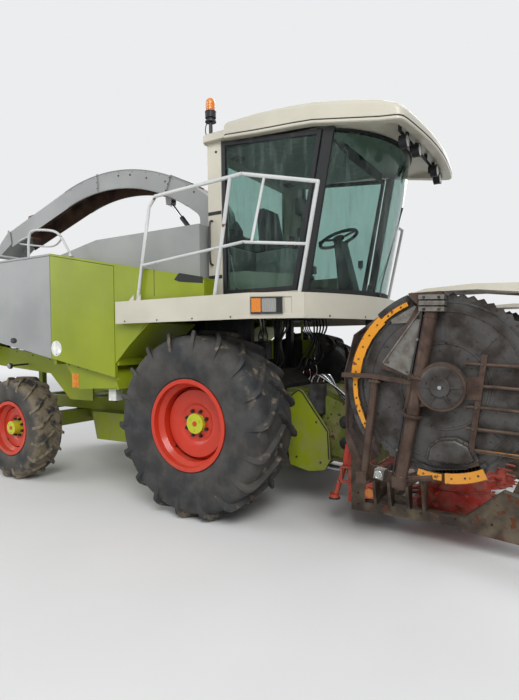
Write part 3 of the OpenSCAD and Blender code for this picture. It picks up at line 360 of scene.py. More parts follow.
finish("chassis rear_axle body_shell panel_green_right panel_green_left feeder", "lime", 0.004)
finish("hood panel_grey_right panel_grey_left spout_arch spout_flap", "pearl", 0.004)
finish("cab_frame platform", "cream", 0.004)
finish("platform_frame front_axle rear_hitch chopper_housing knuckle_right knuckle_left", "dark")
finish("spout_turret spout_barrel lift_barrels lamps", "dark")
finish("ladder tail_gate door_right door_left", "dark", 0.002)
finish("handrail_right handrail_left", "white", 0)
finish("engine_block", "iron", 0.01)
finish("cab_glazing door_glass_right door_glass_left", "glass", 0)
finish("steering_column", "black")
finish("spout_rod lift_rods", "rod", 0)
finish("rim_front_right rim_front_left rim_rear_right rim_rear_left", "rim", 0.002)
finish("header_frame drum_inner_right drum_inner_left", "red", 0.002)
finish("wing_right wing_left", "brown", 0.002)
finish("drum_outer_right drum_outer_left", "drum", 0.001)

HUB_RADIUS = 0.098
ARCH_HALF_W = 0.2
GUARD_INNER, GUARD_OUTER = 0.594, 0.672
BEACON = at(-0.04, -0.905, 3.844)
# The header's low beams and dividers are soiled; its leg and the wall behind the wheels stay red
WALL_FRONT_X, LEG_FRONT_X, LEG_TOP = 1.445, 1.38, 0.86
SHIELD_Y = 0.555
DECK_X, DECK_Z = -2.0, 2.6
DARK_CAB_X, DARK_CAB_Z = 0.895, 2.042
COVER_TOP, COVER_X, COVER_END_X = 1.955, 2.04, 2.95


def is_lining(x, y, z):
    return y < ARCH_HALF_W - 0.004 and x < -0.7 and abs(y - 0.04) > 0.008


def is_guard(x, y, z):
    away = math.hypot(x - WING_X, z - WING_Z)
    under_clamp = 2.05 < x < 2.34 and z > 1.8
    return GUARD_INNER < away < GUARD_OUTER and 0.012 < y - WING_FACE_Y < 0.03 and not under_clamp


def is_cover(x, y, z):
    return z > COVER_TOP and x > COVER_X or x > COVER_END_X


for end in ("front", "rear"):
    for side_name in SIDE_NAMES:
        hub = middle("tyre_" + end + side_name)
        repaint("rim_" + end + side_name, "hub",
                lambda x, y, z: math.hypot(x + AXLE_X - hub.x, z - hub.z) < HUB_RADIUS)
for side_name in SIDE_NAMES:
    repaint("wing" + side_name, "guard", is_guard)
    repaint("wing" + side_name, "cream", is_cover)
repaint("spout_arch", "lining", is_lining)
repaint("lamps", "amber", lambda x, y, z: z > BEACON.z + 0.098)
# Feeder faces nearer the middle than the shield's face get a darker, dustier lime with rust; the outer shield
# faces keep the plain lime
repaint("feeder", "darker_lime", lambda x, y, z: y < SHIELD_Y)
repaint("header_frame", "soiled", lambda x, y, z: x > WALL_FRONT_X)
repaint("header_frame", "rim", lambda x, y, z: x < LEG_FRONT_X and z < LEG_TOP)
repaint("body_shell", "pearl", lambda x, y, z: x < DECK_X and z > DECK_Z)
repaint("cab_frame", "seal", lambda x, y, z: x > DARK_CAB_X and z > DARK_CAB_Z)


# Making pieces

UP, BACK, FORWARD = Vector((0, 0, 1)), Vector((-1, 0, 0)), Vector((1, 0, 0))


def turned(axis):
    """Two directions square to an axis and to each other."""
    axis = axis.normalized()
    side = UP if abs(axis.z) < 0.9 else FORWARD
    u = axis.cross(side).normalized()
    return u, axis.cross(u).normalized()


def ring(centre, u, v, radius, sides):
    turns = (2 * math.pi * k / sides for k in range(sides))
    return [centre + radius * (math.cos(a) * u + math.sin(a) * v) for a in turns]


def spokes(count, start=0.0, level=False):
    """Directions evenly round a circle that stands upright along the machine, or lies level."""
    turns = [2 * math.pi * (k + start) / count for k in range(count)]
    return [Vector((math.cos(a), math.sin(a), 0) if level else (math.cos(a), 0, math.sin(a))) for a in turns]


def smooth_line(points, steps=5):
    """Points on a smooth curve through the given ones."""
    out = []
    for i in range(len(points) - 1):
        p0, p1 = points[max(i - 1, 0)], points[i]
        p2, p3 = points[i + 1], points[min(i + 2, len(points) - 1)]
        for t in (k / steps for k in range(steps)):
            out.append(0.5 * ((2 * p1) + (p2 - p0) * t + (2 * p0 - 5 * p1 + 4 * p2 - p3) * t * t
                              + (3 * p1 - p0 - 3 * p2 + p3) * t ** 3))
    return out + [points[-1]]


def add_object(name, data):
    made = bpy.data.objects.new(name, data)
    bpy.context.scene.collection.objects.link(made)
    return made


class Form:
    """One piece: closed shells in a mesh. Where it has a side, y runs outwards on that side."""

    def __init__(self, name, side=0):
        self.ending = {RIGHT: "_right", LEFT: "_left", 0: ""}[side]
        self.name = name + self.ending
        self.side = side or 1
        self.out = Vector((0, self.side, 0))
        self.bm = bmesh.new()
        self.materials = []
        self.index = 0

    def use(self, material):
        if material not in self.materials:
            self.materials.append(material)
        self.index = self.materials.index(material)
        return self

    def at(self, x, y, z):
        return at(x, self.side * y, z)

    def on(self, y, places):
        """Places given as x and z, at one distance from the middle."""
        return [self.at(x, y, z) for x, z in places]

    def face(self, corners):
        self.bm.faces.new(corners).material_index = self.index

    def shell(self, rings, loop=False):
        grid = [[self.bm.verts.new(p) for p in r] for r in rings]
        pairs = list(zip(grid, grid[1:]))
        if loop:
            pairs.append((grid[-1], grid[0]))
        for a, b in pairs:
            for i in range(len(a)):
                j = (i + 1) % len(a)
                self.face((a[i], a[j], b[j], b[i]))
        if not loop:
            self.face(grid[0][::-1])
            self.face(grid[-1])
        return grid

    def box(self, low, high):
        (x0, x1), (y0, y1), (z0, z1) = zip(low, high)
        corners = ((x0, y0), (x1, y0), (x1, y1), (x0, y1))
        self.shell([[Vector((x, y, z)) for x, y in corners] for z in (z0, z1)])

    def block(self, place, low, high):
        self.box(place + Vector(low), place + Vector(high))

    def prism(self, outline, offset):
        self.shell([outline, [p + offset for p in outline]])

    def plate(self, y, places, thick):
        self.prism(self.on(y, places), self.out * thick)

    def rod(self, a, b, radius, sides=20):
        u, v = turned(b - a)
        self.shell([ring(a, u, v, radius, sides), ring(b, u, v, radius, sides)])

    def turn(self, origin, profile, sides=40, axis=None):
        """A turned shape from pairs of distance along the axis and radius."""
        axis = (axis or self.out).normalized()
        u, v = turned(axis)
        self.shell([ring(origin + axis * along, u, v, radius, sides) for along, radius in profile])

    def torus(self, centre, radius, thick, sides=32, around=8, axis=None):
        axis = (axis or self.out).normalized()
        u, v = turned(axis)
        outs = ring(Vector((0, 0, 0)), u, v, 1, sides)
        self.shell([ring(centre + out * radius, out, axis, thick, around) for out in outs], loop=True)

    def tube(self, points, radius, sides=10):
        rings = []
        u = turned(points[1] - points[0])[0]
        for i, p in enumerate(points):
            along = (points[min(i + 1, len(points) - 1)] - points[max(i - 1, 0)]).normalized()
            u = (u - along * u.dot(along)).normalized()
            rings.append(ring(p, u, along.cross(u), radius, sides))
        self.shell(rings)

    def pipe(self, points, radius, sides=10, steps=5):
        self.tube(smooth_line(points, steps), radius, sides)

    def strip(self, a, b, half, thick, out=None):
        """A flat bar between two places on a face that looks along out."""
        out = (out or self.out).normalized()
        across = (b - a).normalized().cross(out) * half
        self.prism([a + across, b + across, b - across, a - across], out * thick)

    def bar(self, y, a, b, half, thick):
        self.strip(*self.on(y, (a, b)), half, thick)

    def disc(self, place, radius, thick, sides=36, out=None):
        profile = ((-0.002, radius), (thick * 0.6, radius), (thick, radius - thick * 0.4))
        self.turn(place, profile, sides, out)

    def bolt(self, place, size, out=None):
        """A hexagon head with its washer, standing on a face that looks along out."""
        out = (out or self.out).normalized()
        self.rod(place - out * 0.002, place + out * size * 0.16, size * 1.15, 16)
        self.rod(place, place + out * size * 0.85, size, 6)

    def bolts(self, places, size, out=None):
        self.use("bolt")
        for place in places:
            self.bolt(place, size, out)

    def done(self, body, slot, bevel=0.0, replaces=()):
        bmesh.ops.recalc_face_normals(self.bm, faces=self.bm.faces)
        for face in self.bm.faces:
            face.smooth = True
        for edge in self.bm.edges:
            edge.smooth = edge.calc_face_angle(0) < math.radians(34)
        mesh = bpy.data.meshes.new(self.name)
        self.bm.to_mesh(mesh)
        self.bm.free()
        for name in self.materials:
            mesh.materials.append(MAT[name])
        piece = add_object(self.name, mesh)
        if bevel:
            round_edges(piece, bevel)
        piece.modifiers.new("normals", "WEIGHTED_NORMAL").keep_sharp = True
        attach(piece, body)
        if replaces:
            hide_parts(*replaces)


def both_sides(*makers):
    """Makes each side's pieces in turn."""
    for side in (RIGHT, LEFT):
        for make in makers:
            make(side)


# Wheels

TYRE_SECTION = ((0.62, 0.485), (0.74, 0.5), (0.85, 0.475), (0.915, 0.425), (0.945, 0.33))
LUG_STATIONS = ((-0.045, 1.0), (0.06, 1.0), (0.16, 1.0), (0.26, 1.0), (0.35, 1.0), (0.4, 0.997),
                (0.44, 0.978), (0.47, 0.953), (0.488, 0.9), (0.496, 0.845))
LUG_SLOPE, LUG_MIDDLE = math.tan(math.radians(42)), 0.235
TYRE_TURNS = 108
# Start, end, radius and sides of the washer, the nut and the stud
NUT_STEPS = ((0, 0.006, 0.019, 16), (0.005, 0.024, 0.0155, 6), (0.02, 0.036, 0.009, 10))
# Each axle's lugs, radius of the nuts, depths of the disc and the cap, and radius of the valve
AXLES = {"front": (18, 0.124, -0.115, -0.155, 0.335), "rear": (17, 0.105, -0.04, -0.14, 0.235)}


def wheel_place(centre, side, radius, angle, depth):
    """A place on a wheel; depth runs from its middle plane towards the machine's middle."""
    return centre + Vector((radius * math.cos(angle), -side * depth, radius * math.sin(angle)))


def tyre(end, side):
    form = Form(end + "_tyre", side).use(end + "_tyre")
    node = "tyre_" + end + form.ending
    low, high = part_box(node)
    centre, r, w = (low + high) / 2, (high.z - low.z) / 2, high.y - low.y
    rim_low, rim_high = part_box("rim_" + end + form.ending)
    bead_r, rim_half = (rim_high.z - rim_low.z) / 2 - 0.0235, (rim_high.y - rim_low.y) / 2 - 0.006
    tread = form.bm.verts.layers.float.new("tread")
    wall = [Vector((bead_r + 0.038, rim_half + 0.004, 0))]
    wall += [Vector((a * r, b * w, 0)) for a, b in TYRE_SECTION]
    half = [Vector((bead_r + add, rim_half - 0.013, 0)) for add in (0, 0.026)]
    half += smooth_line(wall) + [Vector((0.949 * r, 0.2 * w, 0)), Vector((0.951 * r, 0.0, 0))]
    for p in half:
        if min(abs(p.x / r - rib) for rib in (0.655, 0.7)) < 0.012:
            p.y += 0.0025
    section = half + [Vector((p.x, -p.y, 0)) for p in reversed(half[:-1])]
    turns = [2 * math.pi * i / TYRE_TURNS for i in range(TYRE_TURNS)]
    grid = form.shell([[wheel_place(centre, side, p.x, a, p.y) for p in section] for a in turns], loop=True)
    for row in grid:
        for vert, p in zip(row, section):
            vert[tread] = min(1.0, max(0.0, (p.x / r - 0.8) / 0.12))
    lugs = AXLES[end][0]
    for i in range(2 * lugs):
        for row in form.shell(lug(centre, side, r, w, math.pi * i / lugs, -1 if i % 2 else 1)):
            for vert in row:
                vert[tread] = 1.0
    form.done("wheel_" + end + form.ending, "tyre_rubber", replaces=(node,))


def lug(centre, side, r, w, angle, half_sign):
    """Rings of a bar that leans back from the tread's middle, curving square to the shoulder."""
    rings = []
    top_half, foot_half = 0.024 * r, 0.036 * r
    for place, top in LUG_STATIONS:
        lean = -LUG_SLOPE * (place - LUG_MIDDLE) * w + 0.03 * r * max(0.0, (place - 0.3) / 0.2) ** 2
        foot = 0.93 - 1.1 * max(0.0, place - 0.36)
        shape = [(-foot_half, foot * r), (-top_half, (top - 0.008) * r), (-top_half + 0.006, top * r),
                 (top_half - 0.006, top * r), (top_half, (top - 0.008) * r), (foot_half, foot * r)]
        rings.append([wheel_place(centre, side, radius, angle + (lean + across) / r, half_sign * place * w)
                      for across, radius in shape])
    return rings


def wheel_nuts(end, side):
    form = Form(end + "_wheel_nuts", side).use("bolt")
    nut_ring, disc_depth, cap_depth, valve_ring = AXLES[end][1:]
    centre, out = middle("tyre_" + end + form.ending), form.out
    for k in range(8):
        foot = wheel_place(centre, side, nut_ring, 2 * math.pi * (k + 0.5) / 8, disc_depth)
        for start, stop, radius, sides in NUT_STEPS:
            form.rod(foot + out * start, foot + out * stop, radius, sides)
    cap = wheel_place(centre, side, 0, 0, cap_depth)
    form.use("rim").turn(cap, ((-0.004, 0.026), (0.005, 0.024), (0.009, 0.016)), 20)
    form.use("hub")
    for k in range(3):
        form.bolt(wheel_place(centre, side, 0.062, 2 * math.pi * k / 3 + 0.4, cap_depth), 0.008)
    valve = wheel_place(centre, side, valve_ring, 3.9, disc_depth + 0.02)
    form.use("seal").rod(valve, valve + out * 0.045, 0.008, 10)
    form.use("bolt").rod(valve + out * 0.04, valve + out * 0.06, 0.005, 8)
    form.done("wheel_" + end + form.ending, "red_paint")


for make in (tyre, wheel_nuts):
    for side in (RIGHT, LEFT):
        for end in ("front", "rear"):
            make(end, side)


# Side panels and skirts

SIGN = (-1.861, 1.598)
LATCH = (-2.636, 1.694)
# Outline of a flat dark plate, the painted shadow in the slit below the hood's edge
SLIT_SHADOW = ((-0.15, 2.238), (-0.09, 2.296), (0.188, 2.24), (0.188, 2.182), (-0.09, 2.214))
SKIRT_Y, SHELF_Y = 1.3, 1.03
MARKER_X = -2.85
REFLECTOR_X = -1.64


def sign(side):
    form = Form("blank_sign", side).use("blank")
    x, z = SIGN
    form.disc(form.at(x, PANEL_Y, z), 0.086, 0.003, 48)
    form.use("bolt")
    for dz in (-0.066, 0.066):
        form.disc(form.at(x, PANEL_Y + 0.003, z + dz), 0.005, 0.002, 12)
    form.done("side_panel_front" + form.ending, "grey_paint")


def latch(side):
    """An oval cup with a paddle in it, and the lock beside it."""
    form = Form("panel_latch", side)
    cup = form.at(LATCH[0], PANEL_Y, LATCH[1])

    def dish(material, *levels):
        form.use(material).shell([[cup + form.out * depth + Vector((shift + half_x * u.x, 0, half_z * u.z))
                                   for u in spokes(28)] for depth, shift, half_x, half_z in levels])

    dish("seal", (-0.002, 0, 0.062, 0.033), (0.004, 0, 0.06, 0.031))
    dish("seal", (0.003, 0, 0.054, 0.025), (0.007, 0, 0.052, 0.023))
    dish("black", (0.006, 0.006, 0.036, 0.017), (0.013, 0.01, 0.028, 0.013))
    lock = cup + BACK * 0.037
    form.use("rod").rod(lock + form.out * 0.006, lock + form.out * 0.011, 0.007, 16)
    form.done("side_panel_rear" + form.ending, "black_plastic")


def body_trim(side):
    form = Form("body_trim", side).use("seal")
    # Painted shadow: a flat dark plate where the slit below the hood's edge lies in shade
    form.plate(PANEL_Y, SLIT_SHADOW, 0.0015)
    form.bar(PANEL_Y, (-0.4, 2.1), (-0.4, 2.36), 0.003, 0.0015)
    # Reflector plate on the skirt
    form.use("guard").box(form.at(-1.693, SKIRT_Y, 1.166), form.at(-1.586, SKIRT_Y + 0.004, 1.321))
    for z in (1.205, 1.282):
        form.use("amber").disc(form.at(REFLECTOR_X, SKIRT_Y + 0.004, z), 0.03, 0.006, 28)
    for z in (1.178, 1.309):
        form.use("bolt").disc(form.at(REFLECTOR_X, SKIRT_Y + 0.004, z), 0.006, 0.003, 10)
    # Marker lamp on an arm over the rear wheel
    form.use("dark").rod(form.at(MARKER_X, 1.04, 1.4), form.at(MARKER_X, 1.265, 1.39), 0.011, 12)
    form.use("black").turn(form.at(MARKER_X, 1.26, 1.385), ((0, 0.024), (0.006, 0.034), (0.034, 0.034)), 24)
    form.use("clear").turn(form.at(MARKER_X, 1.294, 1.385), ((0, 0.03), (0.01, 0.028), (0.016, 0.016)), 24)
    # Reservoir under the shelf
    tank = form.at(-1.13, 1.2, 1.1)
    form.use("blank").block(tank, (-0.055, -0.045, -0.06), (0.055, 0.045, 0.066))
    form.use("black").rod(tank - UP * 0.06, tank - UP * 0.078, 0.02, 20)
    # Bolts along the skirts
    form.bolts(form.on(SKIRT_Y, [(-1.74 + 0.148 * i, 1.415 - 0.0236 * i) for i in range(6)]), 0.007)
    form.bolts(form.on(SHELF_Y, [(-3.42 + 0.33 * i, 1.6 - 0.046 * i) for i in range(5)]), 0.007)
    form.bolts(form.on(PANEL_Y, ((-0.9, 1.98), (-0.56, 1.98), (-0.56, 1.86))), 0.007)
    form.done("machine", "lime_paint", 0.0015)


both_sides(sign, latch, body_trim)


# Platform

TREAD_PITCH = 0.042
FRONT_ARC_R, FRONT_ARC_X = 2.35, -0.9
FASCIA_BOLT_Z = 1.862


def on_walkway(x, y):
    """True where the platform's deck is open to the feet."""
    y = abs(y)
    if x < 0.74:
        return -0.06 < x and 0.935 < y < 1.372
    if math.hypot(x - FRONT_ARC_X, y) > FRONT_ARC_R - 0.045 or y > 1.385 - 0.61 * (x - 0.724):
        return False
    return y > 0.935 or x > 0.52 + math.sqrt(max(0.0, 0.9 ** 2 - y * y))


def tread_plate():
    """Raised lozenges on the platform's deck, every second one turned."""
    form = Form("platform_tread").use("cream")
    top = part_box("platform")[0].z + 0.166
    for i in range(int(1.7 / TREAD_PITCH)):
        for k in range(int(2.9 / TREAD_PITCH)):
            x, y = -0.1 + i * TREAD_PITCH, -1.45 + k * TREAD_PITCH
            if on_walkway(x, y):
                lean = math.radians(45 if (i + k) % 2 else -45)
                u = Vector((math.cos(lean), math.sin(lean), 0))
                v = Vector((-u.y, u.x, 0))
                foot = at(x, y, top)
                form.shell([[foot + UP * z + p for p in (u * long, v * wide, -u * long, -v * wide)]
                            for z, long, wide in ((0, 0.016, 0.0055), (0.003, 0.011, 0.003))])
    form.done("machine", "cream_paint")


def platform_trim():
    form = Form("platform_trim").use("cream")
    # Gussets where the rails stand on the rear ends
    for side in (RIGHT, LEFT):
        for x in (-0.67, -0.58):
            form.prism([at(x + dx, side * 1.438, z) for dx, z in ((0, 2.058), (0.07, 2.058), (0.07, 2.118))],
                       Vector((0, side * 0.008, 0)))
    # Bolts along the lower edge of the fascia
    for side in (RIGHT, LEFT):
        form.bolts([at(x, side * PLATFORM_Y, FASCIA_BOLT_Z) for x in (-0.72, -0.3, 0.12, 0.54)], 0.007,
                   Vector((0, side, 0)))
    for degrees in (-24, -12, 0, 12, 24):
        a = math.radians(degrees)
        out = Vector((math.cos(a), math.sin(a), 0))
        form.bolt(at(FRONT_ARC_X, 0, FASCIA_BOLT_Z) + out * FRONT_ARC_R, 0.007, out)
    form.done("machine", "cream_paint", 0.001)


RAIL_Y, REAR_RAIL_Y = 1.15, 1.25
RAIL_TOP = ((-2.635, 2.656), (-2.628, 2.88), (-2.604, 2.985), (-2.53, 3.02), (-2.345, 3.006), (-2.15, 2.966),
            (-2.045, 2.904), (-1.96, 2.8), (-1.89, 2.7), (-1.866, 2.64))
RAIL_LOOP = ((-2.046, 1.15, 2.905), (-2.15, 1.06, 2.88), (-2.5, 0.925, 2.86), (-2.9, 0.985, 2.915),
             (-3.0, 1.02, 2.935), (-2.9, 1.08, 2.95), (-2.62, 1.15, 2.96))
REAR_RAIL = ((-3.66, 2.66), (-3.66, 2.9), (-3.655, 3.0), (-3.61, 3.04), (-3.4, 3.044), (-3.19, 3.04),
             (-3.145, 3.0), (-3.14, 2.9), (-3.14, 2.66))
RAIL_FEET = ((-2.635, RAIL_Y, 2.66), (-1.866, RAIL_Y, 2.646), (-3.66, REAR_RAIL_Y, 2.66),
             (-3.14, REAR_RAIL_Y, 2.66))
RAIL_FLANGE = ((-0.002, 0.034), (0.006, 0.034), (0.009, 0.019), (0.022, 0.018))
POST_FLANGE = ((-0.002, 0.038), (0.006, 0.038), (0.009, 0.021), (0.024, 0.02))
CORNER_POST = ((1.06, 1.185, 2.013), (1.16, 1.195, 2.48), (1.256, 1.204, 2.93), (1.262, 1.19, 2.972),
               (1.24, 1.13, 2.99))


def deck_rails():
    """Bent rails on the rear deck, their feet, and the post at the platform's left front corner."""
    form = Form("deck_rail_tubes").use("white")
    for side in (RIGHT, LEFT):
        form.pipe([at(x, side * RAIL_Y, z) for x, z in RAIL_TOP], 0.015, 12)
        form.pipe([at(x, side * y, z) for x, y, z in RAIL_LOOP], 0.011, 10)
        form.pipe([at(x, side * REAR_RAIL_Y, z) for x, z in REAR_RAIL], 0.015, 12)
        for x, y, z in RAIL_FEET:
            form.turn(at(x, side * y, z), RAIL_FLANGE, 24, UP)
    form.tube([at(-3.66, y, 2.86) for y in (-REAR_RAIL_Y, -0.6, 0.6, REAR_RAIL_Y)], 0.013, 12)
    form.pipe([at(*p) for p in CORNER_POST], 0.017, 12)
    form.turn(at(1.06, 1.185, 2.007), POST_FLANGE, 24, UP)
    for side in (RIGHT, LEFT):
        form.bolts([at(x + dx, side * y, z + 0.004) for x, y, z in RAIL_FEET if z > 2.65
                    for dx in (-0.026, 0.026)], 0.006, UP)
    form.done("machine", "white_tube", replaces=("deck_rails",))


tread_plate()
platform_trim()
deck_rails()


# Lamps

CHAMFER_START, CHAMFER_END = at(0.724, -1.45, 0), at(1.128, -1.204, 0)
# Material, start and end along the chamfer, bottom and top, and the depths of its back and front
LAMP_CELLS = (
    ("amber", 0.024, 0.104, 1.894, 2.01, 0.01, 0.02), ("clear", 0.11, 0.232, 1.894, 2.01, 0.01, 0.018),
    ("seal", 0.238, 0.284, 1.896, 2.008, 0.008, 0.014), ("black", 0.018, 0.29, 1.884, 1.893, 0.008, 0.022),
    ("black", 0.018, 0.29, 2.011, 2.02, 0.008, 0.022), ("black", 0.104, 0.11, 1.89, 2.014, 0.008, 0.022),
    ("black", 0.232, 0.238, 1.89, 2.014, 0.008, 0.022), ("cream", 0.3, 0.302, 1.89, 2.014, -0.01, 0.004))


def chamfer_lamps(side):
    """The lenses, bezel and empty pocket of the corner lamp unit."""
    form = Form("corner_lamp", side)
    along = (CHAMFER_END - CHAMFER_START).normalized()
    out = Vector((along.y, -along.x, 0)).normalized()

    def spot(t, z, depth):
        place = CHAMFER_START + along * t + out * depth
        return Vector((place.x, -side * place.y, z))

    for material, t0, t1, z0, z1, deep, high in LAMP_CELLS:
        form.use(material).prism([spot(t, z, deep) for t, z in ((t0, z0), (t1, z0), (t1, z1), (t0, z1))],
                                 spot(t0, z0, high) - spot(t0, z0, deep))
    form.use("bolt")
    for t in (0.112, 0.226):
        for z in (1.899, 2.005):
            form.rod(spot(t, z, 0.015), spot(t, z, 0.021), 0.0035, 8)
    form.done("machine", "lamp_housing", 0.0015)


def roof_lamps():
    """Round work lamps, each with its rim, ribbed lens and screw."""
    form = Form("work_lamps")
    for y in (-0.62, -0.34, 0.34, 0.62):
        place = at(1.91 - abs(y) * 0.12, y, 3.356)
        form.use("black").torus(place + FORWARD * 0.004, 0.056, 0.0055, axis=FORWARD)
        form.use("clear").turn(place, ((0.0, 0.051), (0.006, 0.049), (0.011, 0.036), (0.013, 0.012)), 32,
                               FORWARD)
        form.use("rod").turn(place, ((0.011, 0.007), (0.018, 0.006)), 12, FORWARD)
    form.done("machine", "lamp_housing")


def beacon():
    form = Form("beacon_trim").use("black")
    form.turn(BEACON, ((-0.004, 0.056), (0.01, 0.054), (0.018, 0.043)), 32, UP)
    form.torus(BEACON + UP * 0.04, 0.049, 0.006, axis=UP)
    form.torus(BEACON + UP * 0.097, 0.0515, 0.006, axis=UP)
    for k in range(3):
        a = 2 * math.pi * k / 3 + 0.5
        form.bolts([BEACON + Vector((0.05 * math.cos(a), 0.05 * math.sin(a), 0.006))], 0.005, UP)
    form.use("amber")
    for z in (0.115, 0.14, 0.165):
        form.torus(BEACON + UP * z, 0.0463, 0.0022, 40, 6, UP)
    # Post under it, and its wire
    form.use("black").rod(BEACON - UP * 0.132, BEACON, 0.019, 20)
    form.block(BEACON, (-0.04, -0.03, -0.133), (0.04, 0.03, -0.127))
    form.use("seal").pipe([BEACON + Vector(p) for p in (
        (-0.03, 0.01, 0.004), (-0.056, 0.004, -0.012), (-0.066, 0.0, -0.06), (-0.06, 0.0, -0.105),
        (-0.034, 0.012, -0.13))], 0.005, 8, 6)
    form.done("machine", "lamp_housing")


def tail_lamps(side):
    form = Form("tail_lamp", side)
    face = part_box("lamps")[0].x
    low_y, high_y = sorted((side * 1.035, side * 1.275))
    third = (high_y - low_y) / 3
    for k, material in enumerate(("amber", "red_lens", "red_lens")[::side]):
        y0, y1 = low_y + k * third + 0.004, low_y + (k + 1) * third - 0.004
        form.use(material).prism([Vector((face + 0.001, y, z)) for y, z in (
            (y0, 1.572), (y1, 1.572), (y1, 1.708), (y0, 1.708))], BACK * 0.012)
    form.use("bolt")
    for k in (1, 2):
        form.disc(Vector((face - 0.001, low_y + k * third, 1.64)), 0.006, 0.006, 10, BACK)
    form.done("machine", "lamp_housing", 0.002)


roof_lamps()
beacon()
both_sides(chamfer_lamps, tail_lamps)


# Cab outside

ROOF_LIP = ((-0.13, 3.632), (0.15, 3.622), (0.4, 3.6), (0.6, 3.585), (1.056, 3.56), (1.482, 3.481),
            (1.7, 3.44), (1.9, 3.414), (1.98, 3.41))
ROOF_EDGE = ((-0.13, 3.764), (0.587, 3.776), (1.059, 3.745), (1.484, 3.663), (1.704, 3.611), (1.87, 3.54),
             (1.98, 3.524))
ROOF_UNDER = ((-0.13, 3.644), (1.02, 3.644), (1.18, 3.524), (1.68, 3.52), (1.86, 3.474), (1.98, 3.464))
ROOF_CENTRE_X, ROOF_HALF_L, ROOF_HALF_W = 0.92, 1.05, 0.97
# Half of the outline from above: the rear, the notch beside the pillar, the side, and the rounded front
ROOF_HALF_PLAN = (((-0.13, 0.0), (-0.13, 0.4), (-0.13, 0.76), (-0.118, 0.788), (-0.09, 0.8), (0.06, 0.8),
                   (0.128, 0.806), (0.142, 0.83), (0.146, 0.93), (0.158, 0.958), (0.19, 0.97))
                  + tuple((0.1 * k, ROOF_HALF_W) for k in (3, 5, 7, 9, 11, 13, 15, 17))
                  + ((1.83, 0.97), (1.862, 0.964), (1.884, 0.948), (1.898, 0.92), (1.912, 0.85), (1.931, 0.7),
                     (1.95, 0.52), (1.966, 0.32), (1.974, 0.13)))
# How far each ring is pulled in, the line that it follows, and its height over that
ROOF_RINGS = ((0.8, ROOF_UNDER, 0), (0.4, ROOF_UNDER, 0), (0.13, ROOF_UNDER, 0), (0.1, ROOF_UNDER, -0.012),
              (0.086, ROOF_LIP, 0.006), (0.074, ROOF_LIP, 0), (0.008, ROOF_LIP, 0), (0, ROOF_LIP, 0.008),
              (0, ROOF_LIP, 0.026), (0.007, ROOF_LIP, 0.03), (0.007, ROOF_LIP, 0.036), (0, ROOF_LIP, 0.04),
              (0, ROOF_EDGE, -0.04), (0.005, ROOF_EDGE, -0.016), (0.018, ROOF_EDGE, 0.003),
              (0.045, ROOF_EDGE, 0.015))
CROWN_RISE = 0.058


def along_line(points, x):
    """The height of a line given by points, at x."""
    for (x0, z0), (x1, z1) in zip(points, points[1:]):
        if x <= x1:
            return z0 + (z1 - z0) * (x - x0) / (x1 - x0)
    return points[-1][1]


def whole(half):
    """Both halves of an outline from its left half, where y is above 0."""
    return list(half) + [(x, -y) for x, y in reversed(half[1:])]


def roof_ring(plan, inset, line, rise):
    """The plan's outline pulled in, each point standing over a line given by points."""
    out = []
    for x, y in plan:
        x = ROOF_CENTRE_X + (x - ROOF_CENTRE_X) * (1 - inset / ROOF_HALF_L)
        out.append(at(x, y * (1 - inset / ROOF_HALF_W), along_line(line, x) + rise))
    return out


def roof():
    """The moulded hood: a lip with a groove over it, rounded shoulders, a crown, and the brow's underside."""
    plan = whole(ROOF_HALF_PLAN)
    form = Form("roof_hood").use("cream")
    crown = [(inset, ROOF_EDGE, 0.015 + CROWN_RISE * (1 - (1 - inset / ROOF_HALF_W) ** 2) ** 0.8)
             for inset in (0.1, 0.18, 0.28, 0.4, 0.55, 0.7, 0.85)]
    form.shell([roof_ring(plan, *level) for level in list(ROOF_RINGS) + crown])
    # Lower shelf behind the hood's notched corners
    shelf = whole([(-0.128, 0.0), (-0.128, 0.9), (-0.112, 0.94), (-0.08, 0.955), (0.17, 0.955)])
    form.shell([[at(x, y * share, z) for x, y in shelf] for z, share in
                ((3.634, 0.994), (3.64, 1.0), (3.704, 1.0), (3.714, 0.988))])
    # Dark line in the groove, and the rail that carries the work lamps
    groove = [at(x, y * 0.9945, along_line(ROOF_LIP, x) + 0.033) for x, y in plan if x > 0.14]
    form.use("seal").tube(groove, 0.0042, 6)
    form.use("dark").rod(at(1.8, -0.72, 3.424), at(1.8, 0.72, 3.424), 0.014, 16)
    for y in (-0.7, -0.48, -0.17, 0.17, 0.48, 0.7):
        form.block(at(1.8, y, 3.424), (-0.014, -0.01, 0), (0.014, 0.01, 0.076))
    # Aerial's foot
    form.use("black").turn(at(1.471, -0.75, 3.7), ((-0.02, 0.02), (0.022, 0.02), (0.034, 0.01)), 20, UP)
    form.done("machine", "cream_paint", replaces=("cab_roof",))


def cab_hardware(side):
    """Hinge straps, the pillar's plug and the grab rail on one side of the cab."""
    form = Form("cab_hardware", side)
    for z in (2.297, 2.933):
        form.use("dark").bar(CAB_Y, (-0.088, z), (0.072, z), 0.017, 0.004)
        form.bolts(form.on(CAB_Y + 0.004, ((-0.06, z), (0.04, z))), 0.006)
    form.use("seal").disc(form.at(0.016, CAB_Y, 3.537), 0.013, 0.004, 20)
    form.use("black").pipe([form.at(-0.04, y, z) for y, z in (
        (CAB_Y, 2.42), (0.945, 2.45), (0.95, 2.64), (0.945, 2.83), (CAB_Y, 2.86))], 0.01)
    form.done("machine", "dark_paint", 0.001)


